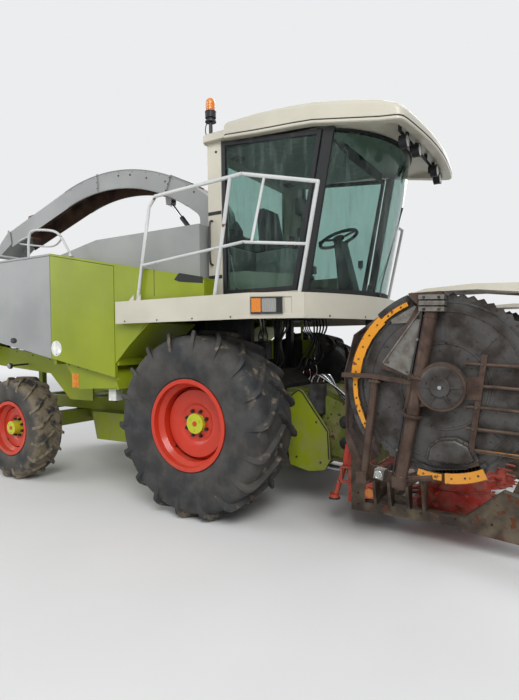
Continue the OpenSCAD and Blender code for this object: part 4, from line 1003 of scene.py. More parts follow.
def door_hardware(side):
    """The door's gas strut and its handle."""
    form = Form("door_hardware", side)
    out = form.out
    top, foot = form.on(0.872, ((0.104, 2.781), (0.224, 2.165)))
    meeting = top.lerp(foot, 0.45)
    form.use("black").rod(top, meeting, 0.009, 14)
    form.use("rod").rod(meeting, foot, 0.005, 12)
    form.use("bolt")
    for p in (top, foot):
        form.rod(p - out * 0.012, p + out * 0.012, 0.009, 12)
    handle = form.at(0.845, CAB_Y, 2.56)
    form.use("black").block(handle, (-0.03, -0.002, -0.045), (0.03, 0.004 if side > 0 else 0.002, 0.045))
    form.pipe([handle + out * stand + UP * z for stand, z in (
        (0.004, 0.036), (0.04, 0.028), (0.042, -0.028), (0.004, -0.036))], 0.008)
    lock = handle - UP * 0.055
    form.use("bolt").rod(lock + out * 0.004, lock + out * 0.01, 0.01, 16)
    form.done("cab_door" + form.ending, "black_plastic", 0.001)


def wiper():
    """Arm and blade on the windscreen's foot."""
    form = Form("wiper").use("black")
    foot, tip = at(1.392, -0.12, 2.09), at(1.5, 0.16, 2.76)
    form.rod(foot - FORWARD * 0.05, foot + FORWARD * 0.03, 0.017, 16)
    form.tube([foot + FORWARD * 0.026, foot + Vector((0.036, 0.02, 0.1)), tip], 0.007, 8)
    blade = (tip - foot).normalized()
    form.use("seal").tube([tip - blade * 0.33, tip + blade * 0.27], 0.008, 6)
    form.done("machine", "black_plastic")


roof()
wiper()
both_sides(cab_hardware, door_hardware)


# Folded wing of the header

CLAMP = ((2.15, 1.957), (2.322, 1.949), (2.32, 1.917), (2.148, 1.925))
SILVER_PLATE = ((2.16, 1.852), (2.146, 1.866), (1.866, 1.486), (1.872, 1.47), (2.06, 1.386))
SMALL_PLATE = ((2.13, 1.872), (2.1, 1.888), (1.925, 1.792), (1.936, 1.764), (2.042, 1.766))
LAMP_PLATE = ((1.81, 0.643), (1.88, 0.631), (1.892, 0.703), (1.822, 0.713))
MAIN_TUBE = ((2.235, 1.9), (1.985, 0.58))
SIDE_TUBE = ((1.815, 1.37), (1.715, 0.58))
TUBE_STAND = 0.042
# Outer and inner radius, first and last degree, and for the steel backings the number of steps
GUARDS = ((0.668, 0.6, 132, 176), (0.64, 0.612, 112, 132), (0.65, 0.618, 176, 212), (0.652, 0.61, 254, 269),
          (0.668, 0.6, 271, 295))
BACKINGS = ((0.69, 0.64, 108, 132, 12), (0.694, 0.646, 177, 216, 18), (0.604, 0.572, 250, 298, 20))
COVER_PROFILE = ((0.04, 0.172), (0.056, 0.172), (0.06, 0.168), (0.06, 0.15), (0.094, 0.146), (0.104, 0.126),
                 (0.104, 0.07), (0.118, 0.066), (0.122, 0.058))
HOUSING = ((2.165, 0.792), (2.19, 0.9), (2.262, 0.96), (2.38, 0.975), (2.478, 0.93), (2.52, 0.83),
           (2.47, 0.792))
HOUSING_MIDDLE = (2.345, 0.865)
BAR_TOP, BAR_PITCH, BAR_COUNT = 1.48, 0.145, 5
DISC_Y = 1.395


def on_wing(form, stand, *places):
    """Places on the wing's underside, which looks out from the machine while it is folded."""
    return form.on(WING_FACE_Y + stand, places)


def wing_ring(form, stand, radius, degrees):
    a = math.radians(degrees)
    return form.at(WING_X + radius * math.cos(a), WING_FACE_Y + stand, WING_Z + radius * math.sin(a))


def between(pair, share):
    (x0, z0), (x1, z1) = pair
    return x0 + (x1 - x0) * share, z0 + (z1 - z0) * share


def wing_plates(side):
    """The clamp, the bright gusset, the flanges round the two tubes, a lamp and a pipe."""
    form = Form("wing_plates", side).use("silver")
    out = form.out
    for k in range(3):
        form.plate(WING_FACE_Y + 0.012, [(x, z - 0.041 * k) for x, z in CLAMP], 0.088 - 0.004 * (k % 2))
    form.plate(WING_FACE_Y + 0.017, SILVER_PLATE, 0.006)
    form.bar(WING_FACE_Y + 0.02, (1.872, 1.478), (2.15, 1.856), 0.006, 0.014)
    form.plate(WING_FACE_Y + 0.003, SMALL_PLATE, 0.01)
    form.bolts(on_wing(form, 0.098, (2.185, 1.937), (2.286, 1.932), (2.185, 1.855), (2.286, 1.85)), 0.011)
    form.bolts(on_wing(form, 0.023, (1.905, 1.486), (2.045, 1.42), (2.125, 1.8)), 0.009)
    # Flanges on the tubes, with their bolts
    for pair, radius, stand, shares in ((SIDE_TUBE, 0.031, 0.032, (0.03, 0.97)),
                                        (MAIN_TUBE, 0.046, TUBE_STAND, (0.395, 0.6))):
        top, foot = on_wing(form, 0, *pair)
        axis = (foot - top).normalized()
        for share in shares:
            place = on_wing(form, stand, between(pair, share))[0]
            form.use("brown").rod(place - axis * 0.008, place + axis * 0.008, radius + 0.024, 28)
            turns = [math.pi * (k - 2) / 5 for k in range(5)]
            ways = [out * math.cos(a) + axis.cross(out) * math.sin(a) for a in turns]
            form.bolts([place - axis * 0.008 + way * (radius + 0.014) for way in ways], 0.006, -axis)
    # Weld beads round the main tube at the clamp and the foot
    form.use("brown")
    for share in (0.075, 0.93):
        form.torus(on_wing(form, TUBE_STAND, between(MAIN_TUBE, share))[0], 0.047, 0.005, 32, 6, axis)
    # Lamp on a plate at the foot
    place = on_wing(form, 0.09, (1.85, 0.673))[0]
    form.use("silver").plate(WING_FACE_Y + 0.09, LAMP_PLATE, -0.086)
    form.use("rod").torus(place + out * 0.004, 0.026, 0.004, 28)
    form.use("clear").turn(place, ((-0.002, 0.025), (0.007, 0.023), (0.012, 0.012)), 28)
    # Steel pipe along the main tube with its clips
    line = on_wing(form, TUBE_STAND, *(between(MAIN_TUBE, t) for t in (0.06, 0.2, 0.38, 0.4, 0.6, 0.8, 0.95)))
    line = [p + axis.cross(out) * -side * 0.06 for p in line]
    form.use("black").pipe(line, 0.0075, 8, 4)
    form.use("silver")
    for k in (1, 4, 5):
        form.rod(line[k] - axis * 0.009, line[k] + axis * 0.009, 0.012, 12)
    form.done("header_wing" + form.ending, "worn_steel", 0.0015)


def wing_guards(side):
    """Steel backing of the guards, their toothed edges and bolts."""
    form = Form("wing_guard_trim", side).use("iron")
    for r1, r0, a0, a1, steps in BACKINGS:
        outer, inner = ([wing_ring(form, 0.004, r, a0 + (a1 - a0) * k / steps) for k in range(steps + 1)]
                        for r in (r1, r0))
        for k in range(steps):
            form.prism([outer[k], outer[k + 1], inner[k + 1], inner[k]], form.out * 0.006)
    form.use("guard")
    for r1, r0, a0, a1 in GUARDS:
        n = max(3, int(math.radians(a1 - a0) * r1 / 0.0125))
        for k in range(n):
            a, b = (a0 + (a1 - a0) * (k + share) / n for share in (0.15, 0.85))
            form.prism([wing_ring(form, 0.001, r1 - 0.002, a), wing_ring(form, 0.001, r1 - 0.002, b),
                        wing_ring(form, 0.001, r1 + 0.0065, b - 0.12)], form.out * 0.024)
    for r1, r0, a0, a1 in GUARDS:
        n = max(2, round((a1 - a0) / 9))
        turns = [a0 + (a1 - a0) * (k + 0.5) / n for k in range(n)]
        form.bolts([wing_ring(form, 0.026, (r0 + r1) / 2, a) for a in turns], 0.0065)
    form.done("header_wing" + form.ending, "worn_steel", 0.001)


def toward(share, places):
    """Places pulled in to the middle of the low housing."""
    return [between((HOUSING_MIDDLE, p), share) for p in places]


def wing_castings(side):
    """The gearbox cover in the middle, and the drive's housing low on the wing."""
    form = Form("wing_gearbox", side).use("drum")
    out = form.out
    cover = form.at(WING_X, WING_FACE_Y, WING_Z)
    form.turn(cover, COVER_PROFILE, 48)
    for u in spokes(6):
        form.strip(cover + u * 0.066 + out * 0.096, cover + u * 0.14 + out * 0.088, 0.006, 0.018)
    form.bolts([cover + u * 0.16 + out * 0.06 for u in spokes(12, 0.5)], 0.008)
    form.use("rod").rod(cover + out * 0.12, cover + out * 0.128, 0.014, 6)
    # Low housing with its bolted lip
    form.use("drum").shell([on_wing(form, high, *toward(share, HOUSING)) for high, share in
                            ((0.008, 1.0), (0.02, 1.0), (0.022, 0.9), (0.058, 0.84), (0.07, 0.68))])
    edges = zip(HOUSING, HOUSING[1:] + HOUSING[:1])
    lip = toward(0.955, [between(edge, t) for edge in edges for t in (0, 0.5)])
    form.bolts(on_wing(form, 0.02, *lip), 0.006)
    form.done("header_wing" + form.ending, "drum_steel", 0.002)


def wing_bars(side):
    """Square bars over the round ones in front of the disc, with brackets at their ends."""
    form = Form("wing_bars", side).use("silver")
    heights = [BAR_TOP - BAR_PITCH * k for k in range(BAR_COUNT)]
    for k, z in enumerate(heights):
        form.bar(WING_FACE_Y + 0.006, (2.54 - 0.018 * k, z - 0.006), (2.925, z - 0.027), 0.0095, 0.02)
    form.use("brown").bar(WING_FACE_Y + 0.004, (2.563, 1.54), (2.466, 0.845), 0.019, 0.033)
    form.bar(WING_FACE_Y + 0.004, (2.9, 1.5), (2.9, 0.835), 0.016, 0.03)
    for k, z in enumerate(heights):
        form.bolts(on_wing(form, 0.038, (2.9, z - 0.025), (2.548 - 0.02 * k, z - 0.007)), 0.009)
    form.done("header_wing" + form.ending, "worn_steel", 0.002)


def disc_trim(side):
    """Ring edges and knife bolts on the turning disc."""
    form = Form("disc_trim", side)
    out, face = form.out, form.at(WING_X, DISC_Y, WING_Z)
    for radius, width, material in ((0.586, 0.008, "iron"), (0.52, 0.007, "drum"), (0.3, 0.01, "drum")):
        form.use(material).shell([[face + u * (radius + add) + out * stand for add, stand in (
            (-width, -0.001), (width, -0.001), (width - 0.003, 0.0045), (0.003 - width, 0.0045))]
            for u in spokes(96)], loop=True)
    form.bolts([face + u * 0.616 for u in spokes(48, 0.5)], 0.006)
    form.use("drum")
    for u in spokes(8):
        form.strip(face + u * 0.315, face + u * 0.508, 0.012, 0.0045)
    form.done("wing_drum" + form.ending, "drum_steel")


both_sides(wing_plates, wing_guards, wing_castings, wing_bars, disc_trim)


# Header frame

WALL_BACK_X = 1.405
BEAM_Y = 0.985
REFLECTOR_PLACE = (1.605, 0.375)
REFLECTOR_PLATE = ((1.562, 0.326), (1.648, 0.326), (1.648, 0.424), (1.628, 0.47), (1.578, 0.47))
LEG_BRACKET = ((1.347, 0.744), (1.414, 0.7), (1.41, 0.57), (1.352, 0.528), (1.316, 0.552))
STEP_Y = 0.9
STEP_RODS = (((1.312, 0.412), (1.408, 0.422)), ((1.312, 0.538), (1.408, 0.548)),
             ((1.316, 0.4), (1.316, 0.55)))


def header_trim(side):
    """Reflector, leg bracket, leg foot, and bolts on the header's frame."""
    form = Form("header_trim", side)
    reflector = form.at(REFLECTOR_PLACE[0], BEAM_Y, REFLECTOR_PLACE[1])
    form.use("red").turn(reflector, ((-0.002, 0.05), (0.006, 0.05), (0.01, 0.046)), 32)
    form.use("rim").plate(BEAM_Y, REFLECTOR_PLATE, 0.008)
    form.use("amber").turn(reflector, ((0.008, 0.04), (0.014, 0.038), (0.017, 0.02)), 32)
    # Bracket beside the leg, and the step frame under it
    form.use("rim").plate(0.862, LEG_BRACKET, 0.012)
    form.use("red")
    for a, b in STEP_RODS:
        form.rod(*form.on(STEP_Y, (a, b)), 0.012, 12)
    # Foot of the parking leg and its pin
    form.use("black").turn(form.at(1.205, 0.8, 0.222), ((0.0, 0.052), (0.008, 0.052), (0.016, 0.044)), 28, UP)
    form.use("rod").rod(form.at(1.262, 0.77, 0.392), form.at(1.262, 0.846, 0.392), 0.007, 10)
    form.bolts([form.at(1.39, y, z) for z in (0.64, 0.82) for y in (0.765, 0.835)], 0.009, BACK)
    form.bolts(form.on(BEAM_Y, [(1.5 + 0.13 * k, 0.268) for k in range(9)]), 0.008)
    form.bolts(form.on(BEAM_Y, [(1.5, z) for z in (0.36, 0.5, 0.64)]), 0.009)
    form.done("header", "red_paint", 0.001)


def rear_wall_trim():
    """Ribs, bolts and a vent on the back of the header's wall."""
    form = Form("header_wall_trim")
    for side in (RIGHT, LEFT):
        form.use("red")
        for y in (0.47, 0.62, 0.88):
            form.strip(at(WALL_BACK_X, side * y, 0.24), at(WALL_BACK_X, side * y, 1.04), 0.014, 0.03, BACK)
        form.bolts([at(WALL_BACK_X, side * y, z) for y in (0.52, 0.7, 0.84) for z in (0.28, 0.98)], 0.01,
                   BACK)
    form.use("seal")
    for k in range(24):
        form.block(at(WALL_BACK_X, -0.345 + 0.03 * k, 0.82), (0.046, -0.013, 0), (0.051, 0.013, 0.17))
    form.done("header", "red_paint", 0.0015)


rear_wall_trim()
both_sides(header_trim)


# Feeder and chopper

ARM_Y, SHIELD_FACE_Y, CHOPPER_Y, VALVE_PLATE_Y = 0.46, 0.56, 0.4, 0.492
BEARING = ((-0.002, 0.062), (0.012, 0.06), (0.016, 0.04), (0.03, 0.036), (0.034, 0.02))
SHIELD_EDGE = ((0.572, 1.052), (0.73, 1.166), (0.77, 1.14), (1.036, 0.775), (1.047, 0.508))


def hoses(form, materials, radius, *stops):
    """Five hoses side by side; each stop gives the first one's place, and the step to the next."""
    for k in range(5):
        line = [form.at(*(start + step * k for start, step in zip(place, steps))) for place, steps in stops]
        form.use(materials[k % 2]).pipe(line, radius, 8, 6)


def feeder_trim(side):
    form = Form("feeder_trim", side).use("black")
    for a, b in zip(SHIELD_EDGE, SHIELD_EDGE[1:]):
        form.bar(SHIELD_FACE_Y, a, b, 0.007, 0.003)
    form.bolts(form.on(SHIELD_FACE_Y, ((0.7, 0.5), (0.96, 0.47), (0.66, 1.03), (0.92, 0.86))), 0.01)
    form.bolts(form.on(ARM_Y, [(0.96 + 0.075 * k, 0.93) for k in range(6)]), 0.009)
    # Coupling block over the arm and the pipes from it to the header's wall
    block = form.at(0.905, 0.48, 1.17)
    form.use("iron").block(block, (-0.07, -0.05, -0.23), (0.07, 0.05, 0.05))
    hoses(form, ("rod", "black"), 0.009, ((0.855, 0.51, 1.218), (0.025, -0.015, 0)),
          ((0.855, 0.51, 1.263), (0.025, -0.015, 0)), ((0.915, 0.51, 1.313), (0.025, -0.015, 0)),
          ((1.12, 0.5, 1.19), (0, -0.02, -0.022)), ((1.27, 0.52, 1.07), (0, -0.02, -0.02)),
          ((1.4, 0.53, 1.01), (0, -0.02, -0.02)))
    form.use("bolt")
    for k in range(5):
        start = form.at(0.855 + 0.025 * k, 0.51 - 0.015 * k, 1.218)
        form.rod(start - UP * 0.004, start + UP * 0.024, 0.014, 6)
    # Roller bearings on the arms
    for place in form.on(ARM_Y, ((0.62, 0.86), (1.18, 0.66), (1.18, 0.86))):
        form.use("iron").turn(place, BEARING, 28)
        form.bolts([place + u * 0.05 + form.out * 0.012 for u in spokes(4, 0.5)], 0.006)
    form.done("header", "lime_paint", 0.001)


def pipes(side):
    """Steel pipes and hoses from the valve block down the front of the machine, with their nuts."""
    form = Form("pipes", side).use("iron")
    block = form.at(0.33, 0.56, 1.56)
    form.block(block, (-0.07, -0.06, -0.09), (0.07, 0.06, 0.09))
    form.bolts([block + Vector((x, side * 0.06, z)) for z in (-0.06, 0.0, 0.06) for x in (-0.04, 0.04)], 0.01)
    hoses(form, ("rod", "black"), 0.008,
          ((0.38, 0.56, 1.472), (-0.025, 0, 0)), ((0.38, 0.56, 1.412), (-0.025, 0, 0)),
          ((0.4, 0.545, 1.36), (-0.036, -0.012, -0.02)), ((0.4, 0.545, 1.24), (-0.036, -0.012, -0.02)),
          ((0.3, 0.425, 1.13), (-0.04, 0, -0.03)), ((0.18, 0.385, 1.12), (-0.05, 0, -0.03)))
    hoses(form, ("black", "rod"), 0.008,
          ((0.38, 0.56, 1.648), (-0.025, 0, 0)), ((0.38, 0.56, 1.71), (-0.025, 0, 0)),
          ((0.34, 0.52, 1.78), (-0.022, -0.01, 0)), ((0.32, 0.5, 1.915), (-0.022, 0, 0)))
    hoses(form, ("iron", "seal"), 0.011,
          ((0.56, 0.47, 1.93), (-0.04, 0, 0)), ((0.575, 0.48, 1.8), (-0.04, 0, 0)),
          ((0.5, 0.5, 1.64), (-0.02, -0.02, 0)), ((0.52, 0.48, 1.46), (-0.05, -0.03, 0)),
          ((0.4, 0.44, 1.34), (-0.03, -0.03, 0)), ((0.29, 0.4, 1.31), (-0.02, -0.03, 0)))
    form.use("bolt")
    for k in range(5):
        start = form.at(0.38 - 0.025 * k, 0.56, 1.472)
        form.rod(start + UP * 0.004, start - UP * 0.022, 0.013, 6)
    form.use("lime")
    form.plate(VALVE_PLATE_Y, ((0.25, 1.66), (0.41, 1.66), (0.41, 1.47), (0.25, 1.44)), 0.012)
    form.plate(VALVE_PLATE_Y, ((0.25, 1.66), (0.262, 1.66), (0.262, 1.93), (0.25, 1.93)), -0.04)
    form.done("machine", "dark_paint", 0.001)


def chopper_trim():
    """Bearing housings and bolts on the chopper's sides."""
    form = Form("chopper_trim")
    for side in (RIGHT, LEFT):
        out = Vector((0, side, 0))
        for x, z, radius in ((-0.25, 0.96, 0.12), (0.12, 0.9, 0.09), (-0.33, 0.66, 0.075)):
            place = at(x, side * CHOPPER_Y, z)
            form.use("iron").turn(place, ((-0.004, radius), (0.018, radius), (0.024, radius * 0.7),
                                          (0.05, radius * 0.62), (0.058, radius * 0.3)), 36, out)
            form.bolts([place + u * radius * 0.86 + out * 0.018 for u in spokes(6)], 0.009, out)
        form.bolts([at(x, side * CHOPPER_Y, 1.26) for x in (-0.5, -0.2, 0.04)], 0.01, out)
    form.done("machine", "dark_paint", 0.001)


chopper_trim()
both_sides(feeder_trim, pipes)


# Spout

ARCH_X, ARCH_Z, ARCH_R, ARCH_DEPTH = -2.3, 1.16, 2.77, 0.24
ARCH_START, ARCH_TURN, ARCH_STEPS = 57, 50.5, 28
ARCH_JOINTS = (66, 93.5)
SPOUT_BOLTS = ((-2.07, 3.849), (-1.86, 3.822), (-1.58, 3.735), (-1.27, 3.639), (-0.82, 3.438))
PIPE_Y = 0.12
TEETH = 72
# Each tooth's corners: the turn in half pitches, and the radius
TOOTH = ((-0.55, 0.326), (-0.3, 0.341), (0.3, 0.341), (0.55, 0.326))


def on_arch(radius, degrees, y):
    a = math.radians(degrees)
    return at(ARCH_X + radius * math.cos(a), y, ARCH_Z + radius * math.sin(a))


def from_arch(degrees):
    return (on_arch(ARCH_R + 1, degrees, 0) - on_arch(ARCH_R, degrees, 0)).normalized()


def spout_trim():
    """Bolted joints, edge beads, side bolts and the flap's pipe along the spout."""
    form = Form("spout_trim")
    turns = [ARCH_START + ARCH_TURN * k / ARCH_STEPS for k in range(ARCH_STEPS + 1)]
    for side in (RIGHT, LEFT):
        out, y = Vector((0, side, 0)), side * ARCH_HALF_W
        form.use("pearl")
        form.tube([on_arch(ARCH_R - ARCH_DEPTH + 0.006, a, y + side * 0.003) for a in turns], 0.009, 8)
        form.tube([on_arch(ARCH_R - 0.004, a, y + side * 0.001) for a in turns], 0.006, 8)
        for degrees in ARCH_JOINTS:
            a, b = on_arch(ARCH_R + 0.01, degrees, y), on_arch(ARCH_R - ARCH_DEPTH + 0.02, degrees, y)
            form.use("pearl").strip(a, b, 0.006, 0.016, out)
            form.bolts([a.lerp(b, t) + out * 0.016 for t in (0.15, 0.5, 0.85)], 0.007, out)
        form.bolts([at(x, y, z) for x, z in SPOUT_BOLTS], 0.01, out)
        form.bolts([on_arch(ARCH_R - 0.03, degrees, y) for degrees in range(60, 106, 5)], 0.005, out)
    form.use("pearl")
    for degrees in ARCH_JOINTS:
        a, b = (on_arch(ARCH_R - 0.002, degrees, y) for y in (-ARCH_HALF_W, ARCH_HALF_W))
        form.strip(a, b, 0.007, 0.014, from_arch(degrees))
    form.use("black").tube([on_arch(ARCH_R + 0.006, 60 + 46 * k / 24, PIPE_Y) for k in range(25)], 0.006, 8)
    form.use("bolt")
    for degrees in (64, 74, 84, 94, 104):
        form.rod(*(on_arch(ARCH_R + 0.004, degrees, PIPE_Y + dy) for dy in (-0.016, 0.016)), 0.009, 10)
    # Bolt heads of the wear liner, in pairs over the channel's back
    for degrees in range(62, 106, 6):
        form.bolts([on_arch(ARCH_R - 0.001, degrees, y) for y in (-0.13, 0.05)], 0.007, from_arch(degrees))
    form.done("spout", "grey_paint")


def turret_trim():
    """Teeth of the slewing ring and the bolts that hold the collar."""
    centre = at(-0.61, 0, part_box("spout_turret")[0].z)
    form = Form("slew_teeth").use("iron")
    for k in range(TEETH):
        turns = [(2 * math.pi * (k + turn / 2) / TEETH, radius) for turn, radius in TOOTH]
        form.prism([centre + Vector((r * math.cos(a), r * math.sin(a), 0.006)) for a, r in turns], UP * 0.026)
    form.bolts([centre + u * 0.285 + UP * 0.04 for u in spokes(16, 0.5, True)], 0.009, UP)
    form.done("turret", "dark_paint")


spout_trim()
turret_trim()


# Rear

GATE_X = -3.78
MESH_X, MESH_PITCH = -3.738, 0.025
EXHAUST_FOOT, INLET_FOOT = at(-2.9, 0.76, 2.66), at(-3.35, -0.65, 2.66)
INLET_PROFILE = ((-0.002, 0.158), (0.008, 0.158), (0.01, 0.14), (0.052, 0.14), (0.054, 0.166),
                 (0.066, 0.165), (0.082, 0.12), (0.088, 0.03))
EXHAUST_BEND = ((0, 0), (0, 0.2), (0, 0.36), (-0.018, 0.43), (-0.072, 0.49))
LADDER_GRIP = ((1.068, 1.5), (1.12, 1.52), (1.128, 1.62), (1.128, 1.8), (1.12, 1.9), (1.068, 1.92))
HITCH_PIN_X, HITCH_PIN_Y = -3.6, 0.19


def radiator_mesh():
    form = Form("radiator_mesh").use("iron")
    for k in range(57):
        form.block(at(MESH_X, -0.7 + MESH_PITCH * k, 1.555), (0, -0.0015, 0), (0.003, 0.0015, 0.94))
    for k in range(38):
        form.block(at(MESH_X, 0, 1.56 + MESH_PITCH * k), (0.002, -0.7, -0.0015), (0.005, 0.7, 0.0015))
    form.done("rear_gate", "dark_paint")


def gate_trim():
    form = Form("gate_trim").use("black")
    for y in (-0.45, 0.45):
        form.rod(at(GATE_X - 0.002, y - 0.05, 2.54), at(GATE_X - 0.002, y + 0.05, 2.54), 0.016, 16)
        form.strip(at(GATE_X, y, 2.535), at(GATE_X, y, 2.46), 0.03, 0.006, BACK)
    form.strip(at(GATE_X, -0.07, 1.535), at(GATE_X, 0.07, 1.535), 0.014, 0.018, BACK)
    form.bolts([at(GATE_X, y, 1.535) for y in (-0.7, -0.35, 0.35, 0.7)], 0.008, BACK)
    form.done("rear_gate", "dark_paint", 0.001)


def rear_plates():
    """Blank plates, rear reflectors, and the spare pin on the hitch's cross-member in its clips."""
    form = Form("rear_plates").use("blank")
    form.prism([at(BODY_REAR_X - 0.001, y, z) for y, z in ((0.8, 1.83), (1.28, 1.83), (1.28, 1.94),
                                                           (0.8, 1.94))], BACK * 0.003)
    for y in (1.05, -1.05):
        form.disc(at(BODY_REAR_X, y, 2.2), 0.09, 0.003, 48, BACK)
    for side in (RIGHT, LEFT):
        form.use("red_lens").disc(at(BODY_REAR_X, side * 1.22, 1.48), 0.035, 0.008, 28, BACK)
        form.bolts([at(BODY_REAR_X, side * 1.3, z) for z in (1.52, 1.9, 2.3, 2.58)], 0.007, BACK)
    form.use("rod").rod(at(HITCH_PIN_X, HITCH_PIN_Y, 0.8), at(HITCH_PIN_X, HITCH_PIN_Y, 0.96), 0.0155)
    form.torus(at(HITCH_PIN_X, HITCH_PIN_Y, 0.978), 0.022, 0.005, 24, axis=FORWARD)
    form.use("black")
    for z in (0.835, 0.915):
        form.block(at(HITCH_PIN_X, HITCH_PIN_Y, z), (-0.022, -0.025, -0.008), (0.045, 0.025, 0.008))
    form.done("machine", "grey_paint", 0.001)


def exhaust():
    """The bent pipe with its clamp and slotted shield, and the low screened air inlet."""
    form = Form("exhaust_pipe").use("iron")
    foot, inlet = EXHAUST_FOOT, INLET_FOOT
    line = smooth_line([foot + Vector((x, 0, z)) for x, z in EXHAUST_BEND])
    form.tube(line, 0.072, 28)
    tip = (line[-1] - line[-2]).normalized()
    form.use("seal").turn(line[-1], ((-0.004, 0.062), (0.002, 0.062)), 28, tip)
    form.use("iron").torus(line[-1], 0.069, 0.005, 36, axis=tip)
    form.use("silver").turn(foot, ((-0.002, 0.12), (0.012, 0.12), (0.012, 0.09), (0.06, 0.084)), 36, UP)
    form.torus(foot + UP * 0.372, 0.076, 0.006, 40, axis=UP)
    for u in spokes(14, level=True):
        form.strip(foot + u * 0.08 + UP * 0.08, foot + u * 0.08 + UP * 0.34, 0.012, 0.003, u)
    form.bolts([foot + u * 0.105 + UP * 0.012 for u in spokes(6, level=True)], 0.008, UP)
    form.use("black").turn(inlet, INLET_PROFILE, 44, UP)
    for u in spokes(28, level=True):
        form.strip(inlet + u * 0.139 + UP * 0.01, inlet + u * 0.139 + UP * 0.053, 0.006, 0.006, u)
    form.done("machine", "dark_paint", replaces=("exhaust",))


def ladder_trim():
    """Open treads on the ladder's steps and a grip along its side."""
    form = Form("ladder_trim").use("silver")
    for i in range(6):
        for k in range(11):
            form.block(at(0.946, 0.79 + 0.029 * k, 0.668 + 0.25 * i), (0, -0.003, 0), (0.148, 0.003, 0.007))
    form.use("white")
    for y in (0.765, 1.125):
        form.pipe([at(x, y, z) for x, z in LADDER_GRIP], 0.011)
    form.done("machine", "dark_paint", 0.0008)


radiator_mesh()
gate_trim()
rear_plates()
exhaust()
ladder_trim()


# Inside the cab

SEAT, CABIN = at(SEAT_X, 0, CAB_FLOOR), at(0, 0, CAB_FLOOR)
CONSOLE_SIDE = ((-0.15, 0.0), (0.3, 0.0), (0.38, 0.42), (0.38, 0.52), (0.25, 0.56), (-0.15, 0.54))
CONSOLE_TOP = ((-0.14, 0.541), (0.24, 0.56), (0.24, 0.572), (-0.14, 0.56))
CUSHION_CORNER, CUSHION_CUTS = 0.022, 10


def crowned(name, low, high, crown, pull=0.012, cuts=CUSHION_CUTS):
    """A closed cushion whose faces swell and whose sides pull in between its corners."""
    bm = bmesh.new()
    bmesh.ops.create_cube(bm, size=2.0)
    bmesh.ops.subdivide_edges(bm, edges=bm.edges, cuts=cuts, use_grid_fill=True)
    centre, half = (low + high) / 2, (high - low) / 2
    for vert in bm.verts:
        p = vert.co.copy()
        soft = [1 - abs(v) ** 4 for v in p]
        for axis in range(3):
            a, b = soft[(axis + 1) % 3], soft[(axis + 2) % 3]
            swell = crown[axis] * a * b - pull * (a + b) * 0.15
            edge = pull if abs(p[axis]) > 0.99 else 0
            vert.co[axis] = centre[axis] + p[axis] * (half[axis] - edge + swell * abs(p[axis]))
    for face in bm.faces:
        face.smooth = True
    mesh = bpy.data.meshes.new(name)
    bm.to_mesh(mesh)
    bm.free()
    mesh.materials.append(MAT["fabric"])
    piece = add_object(name, mesh)
    edges = piece.modifiers.new("round", "BEVEL")
    edges.width, edges.segments, edges.angle_limit = CUSHION_CORNER, 3, math.radians(50)
    smooth = piece.modifiers.new("soft", "SUBSURF")
    smooth.levels = smooth.render_levels = 1
    return piece


def sewn(piece, places, depth=0.01, width=0.022):
    """Presses sewn channels into a cushion at the given places across it."""
    for vert in piece.data.vertices:
        for axis, value in places:
            away = abs(vert.co[axis] - value)
            if away < width:
                vert.co -= vert.normal * depth * (math.cos(math.pi * away / width) + 1) / 2


def part_of_seat(piece):
    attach(piece, "machine")
    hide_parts("seat")


def seat():
    base = crowned("seat_cushion", SEAT + Vector((-0.2, -0.245, 0.345)), SEAT + Vector((0.255, 0.245, 0.45)),
                   (0.01, 0.008, 0.022))
    sewn(base, ((1, -0.12), (1, 0.12), (0, SEAT.x + 0.1)))
    back = crowned("seat_back", Vector((-0.055, -0.225, 0.0)), Vector((0.05, 0.225, 0.64)),
                   (0.026, 0.012, 0.012))
    for vert in back.data.vertices:
        up = vert.co.z / 0.6
        vert.co.y *= 1.0 - 0.2 * max(0.0, up - 0.55) / 0.45
        vert.co.x -= 0.085 * up
    sewn(back, ((1, -0.115), (1, 0.115), (2, 0.34)))
    back.data.transform(Matrix.Translation(SEAT + Vector((-0.16, 0, 0.452))))
    part_of_seat(base)
    part_of_seat(back)
    form = Form("seat_frame").use("black")
    # Bellows under the seat, plinth and rails
    grows = [(0.128 if k % 2 else 0.15, 0.06 + 0.019 * k) for k in range(13)]
    corners = ((-1, -1), (1, -1), (1, 1), (-1, 1))
    form.shell([[SEAT + Vector((dx * grow, dy * grow * 1.1, z)) for dx, dy in corners] for grow, z in grows])
    form.block(SEAT, (-0.15, -0.17, 0), (0.17, 0.17, 0.062))
    form.block(SEAT, (-0.19, -0.215, 0.29), (0.225, 0.215, 0.334))
    form.block(SEAT, (-0.225, -0.19, 0.33), (-0.15, 0.19, 0.5))
    form.use("bolt").rod(SEAT + Vector((0.12, -0.235, 0.312)), SEAT + Vector((0.12, 0.235, 0.312)), 0.009, 12)
    # Left armrest
    form.use("black").rod(SEAT + Vector((-0.175, 0.262, 0.56)), SEAT + Vector((-0.175, 0.302, 0.56)), 0.026)
    form.block(SEAT, (-0.19, 0.268, 0.548), (0.14, 0.296, 0.572))
    form.done("machine", "black_plastic", 0.006, replaces=("seat",))
    part_of_seat(crowned("arm_pad", SEAT + Vector((-0.18, 0.258, 0.57)), SEAT + Vector((0.15, 0.312, 0.606)),
                         (0.004, 0.004, 0.008), 0.004, 6))


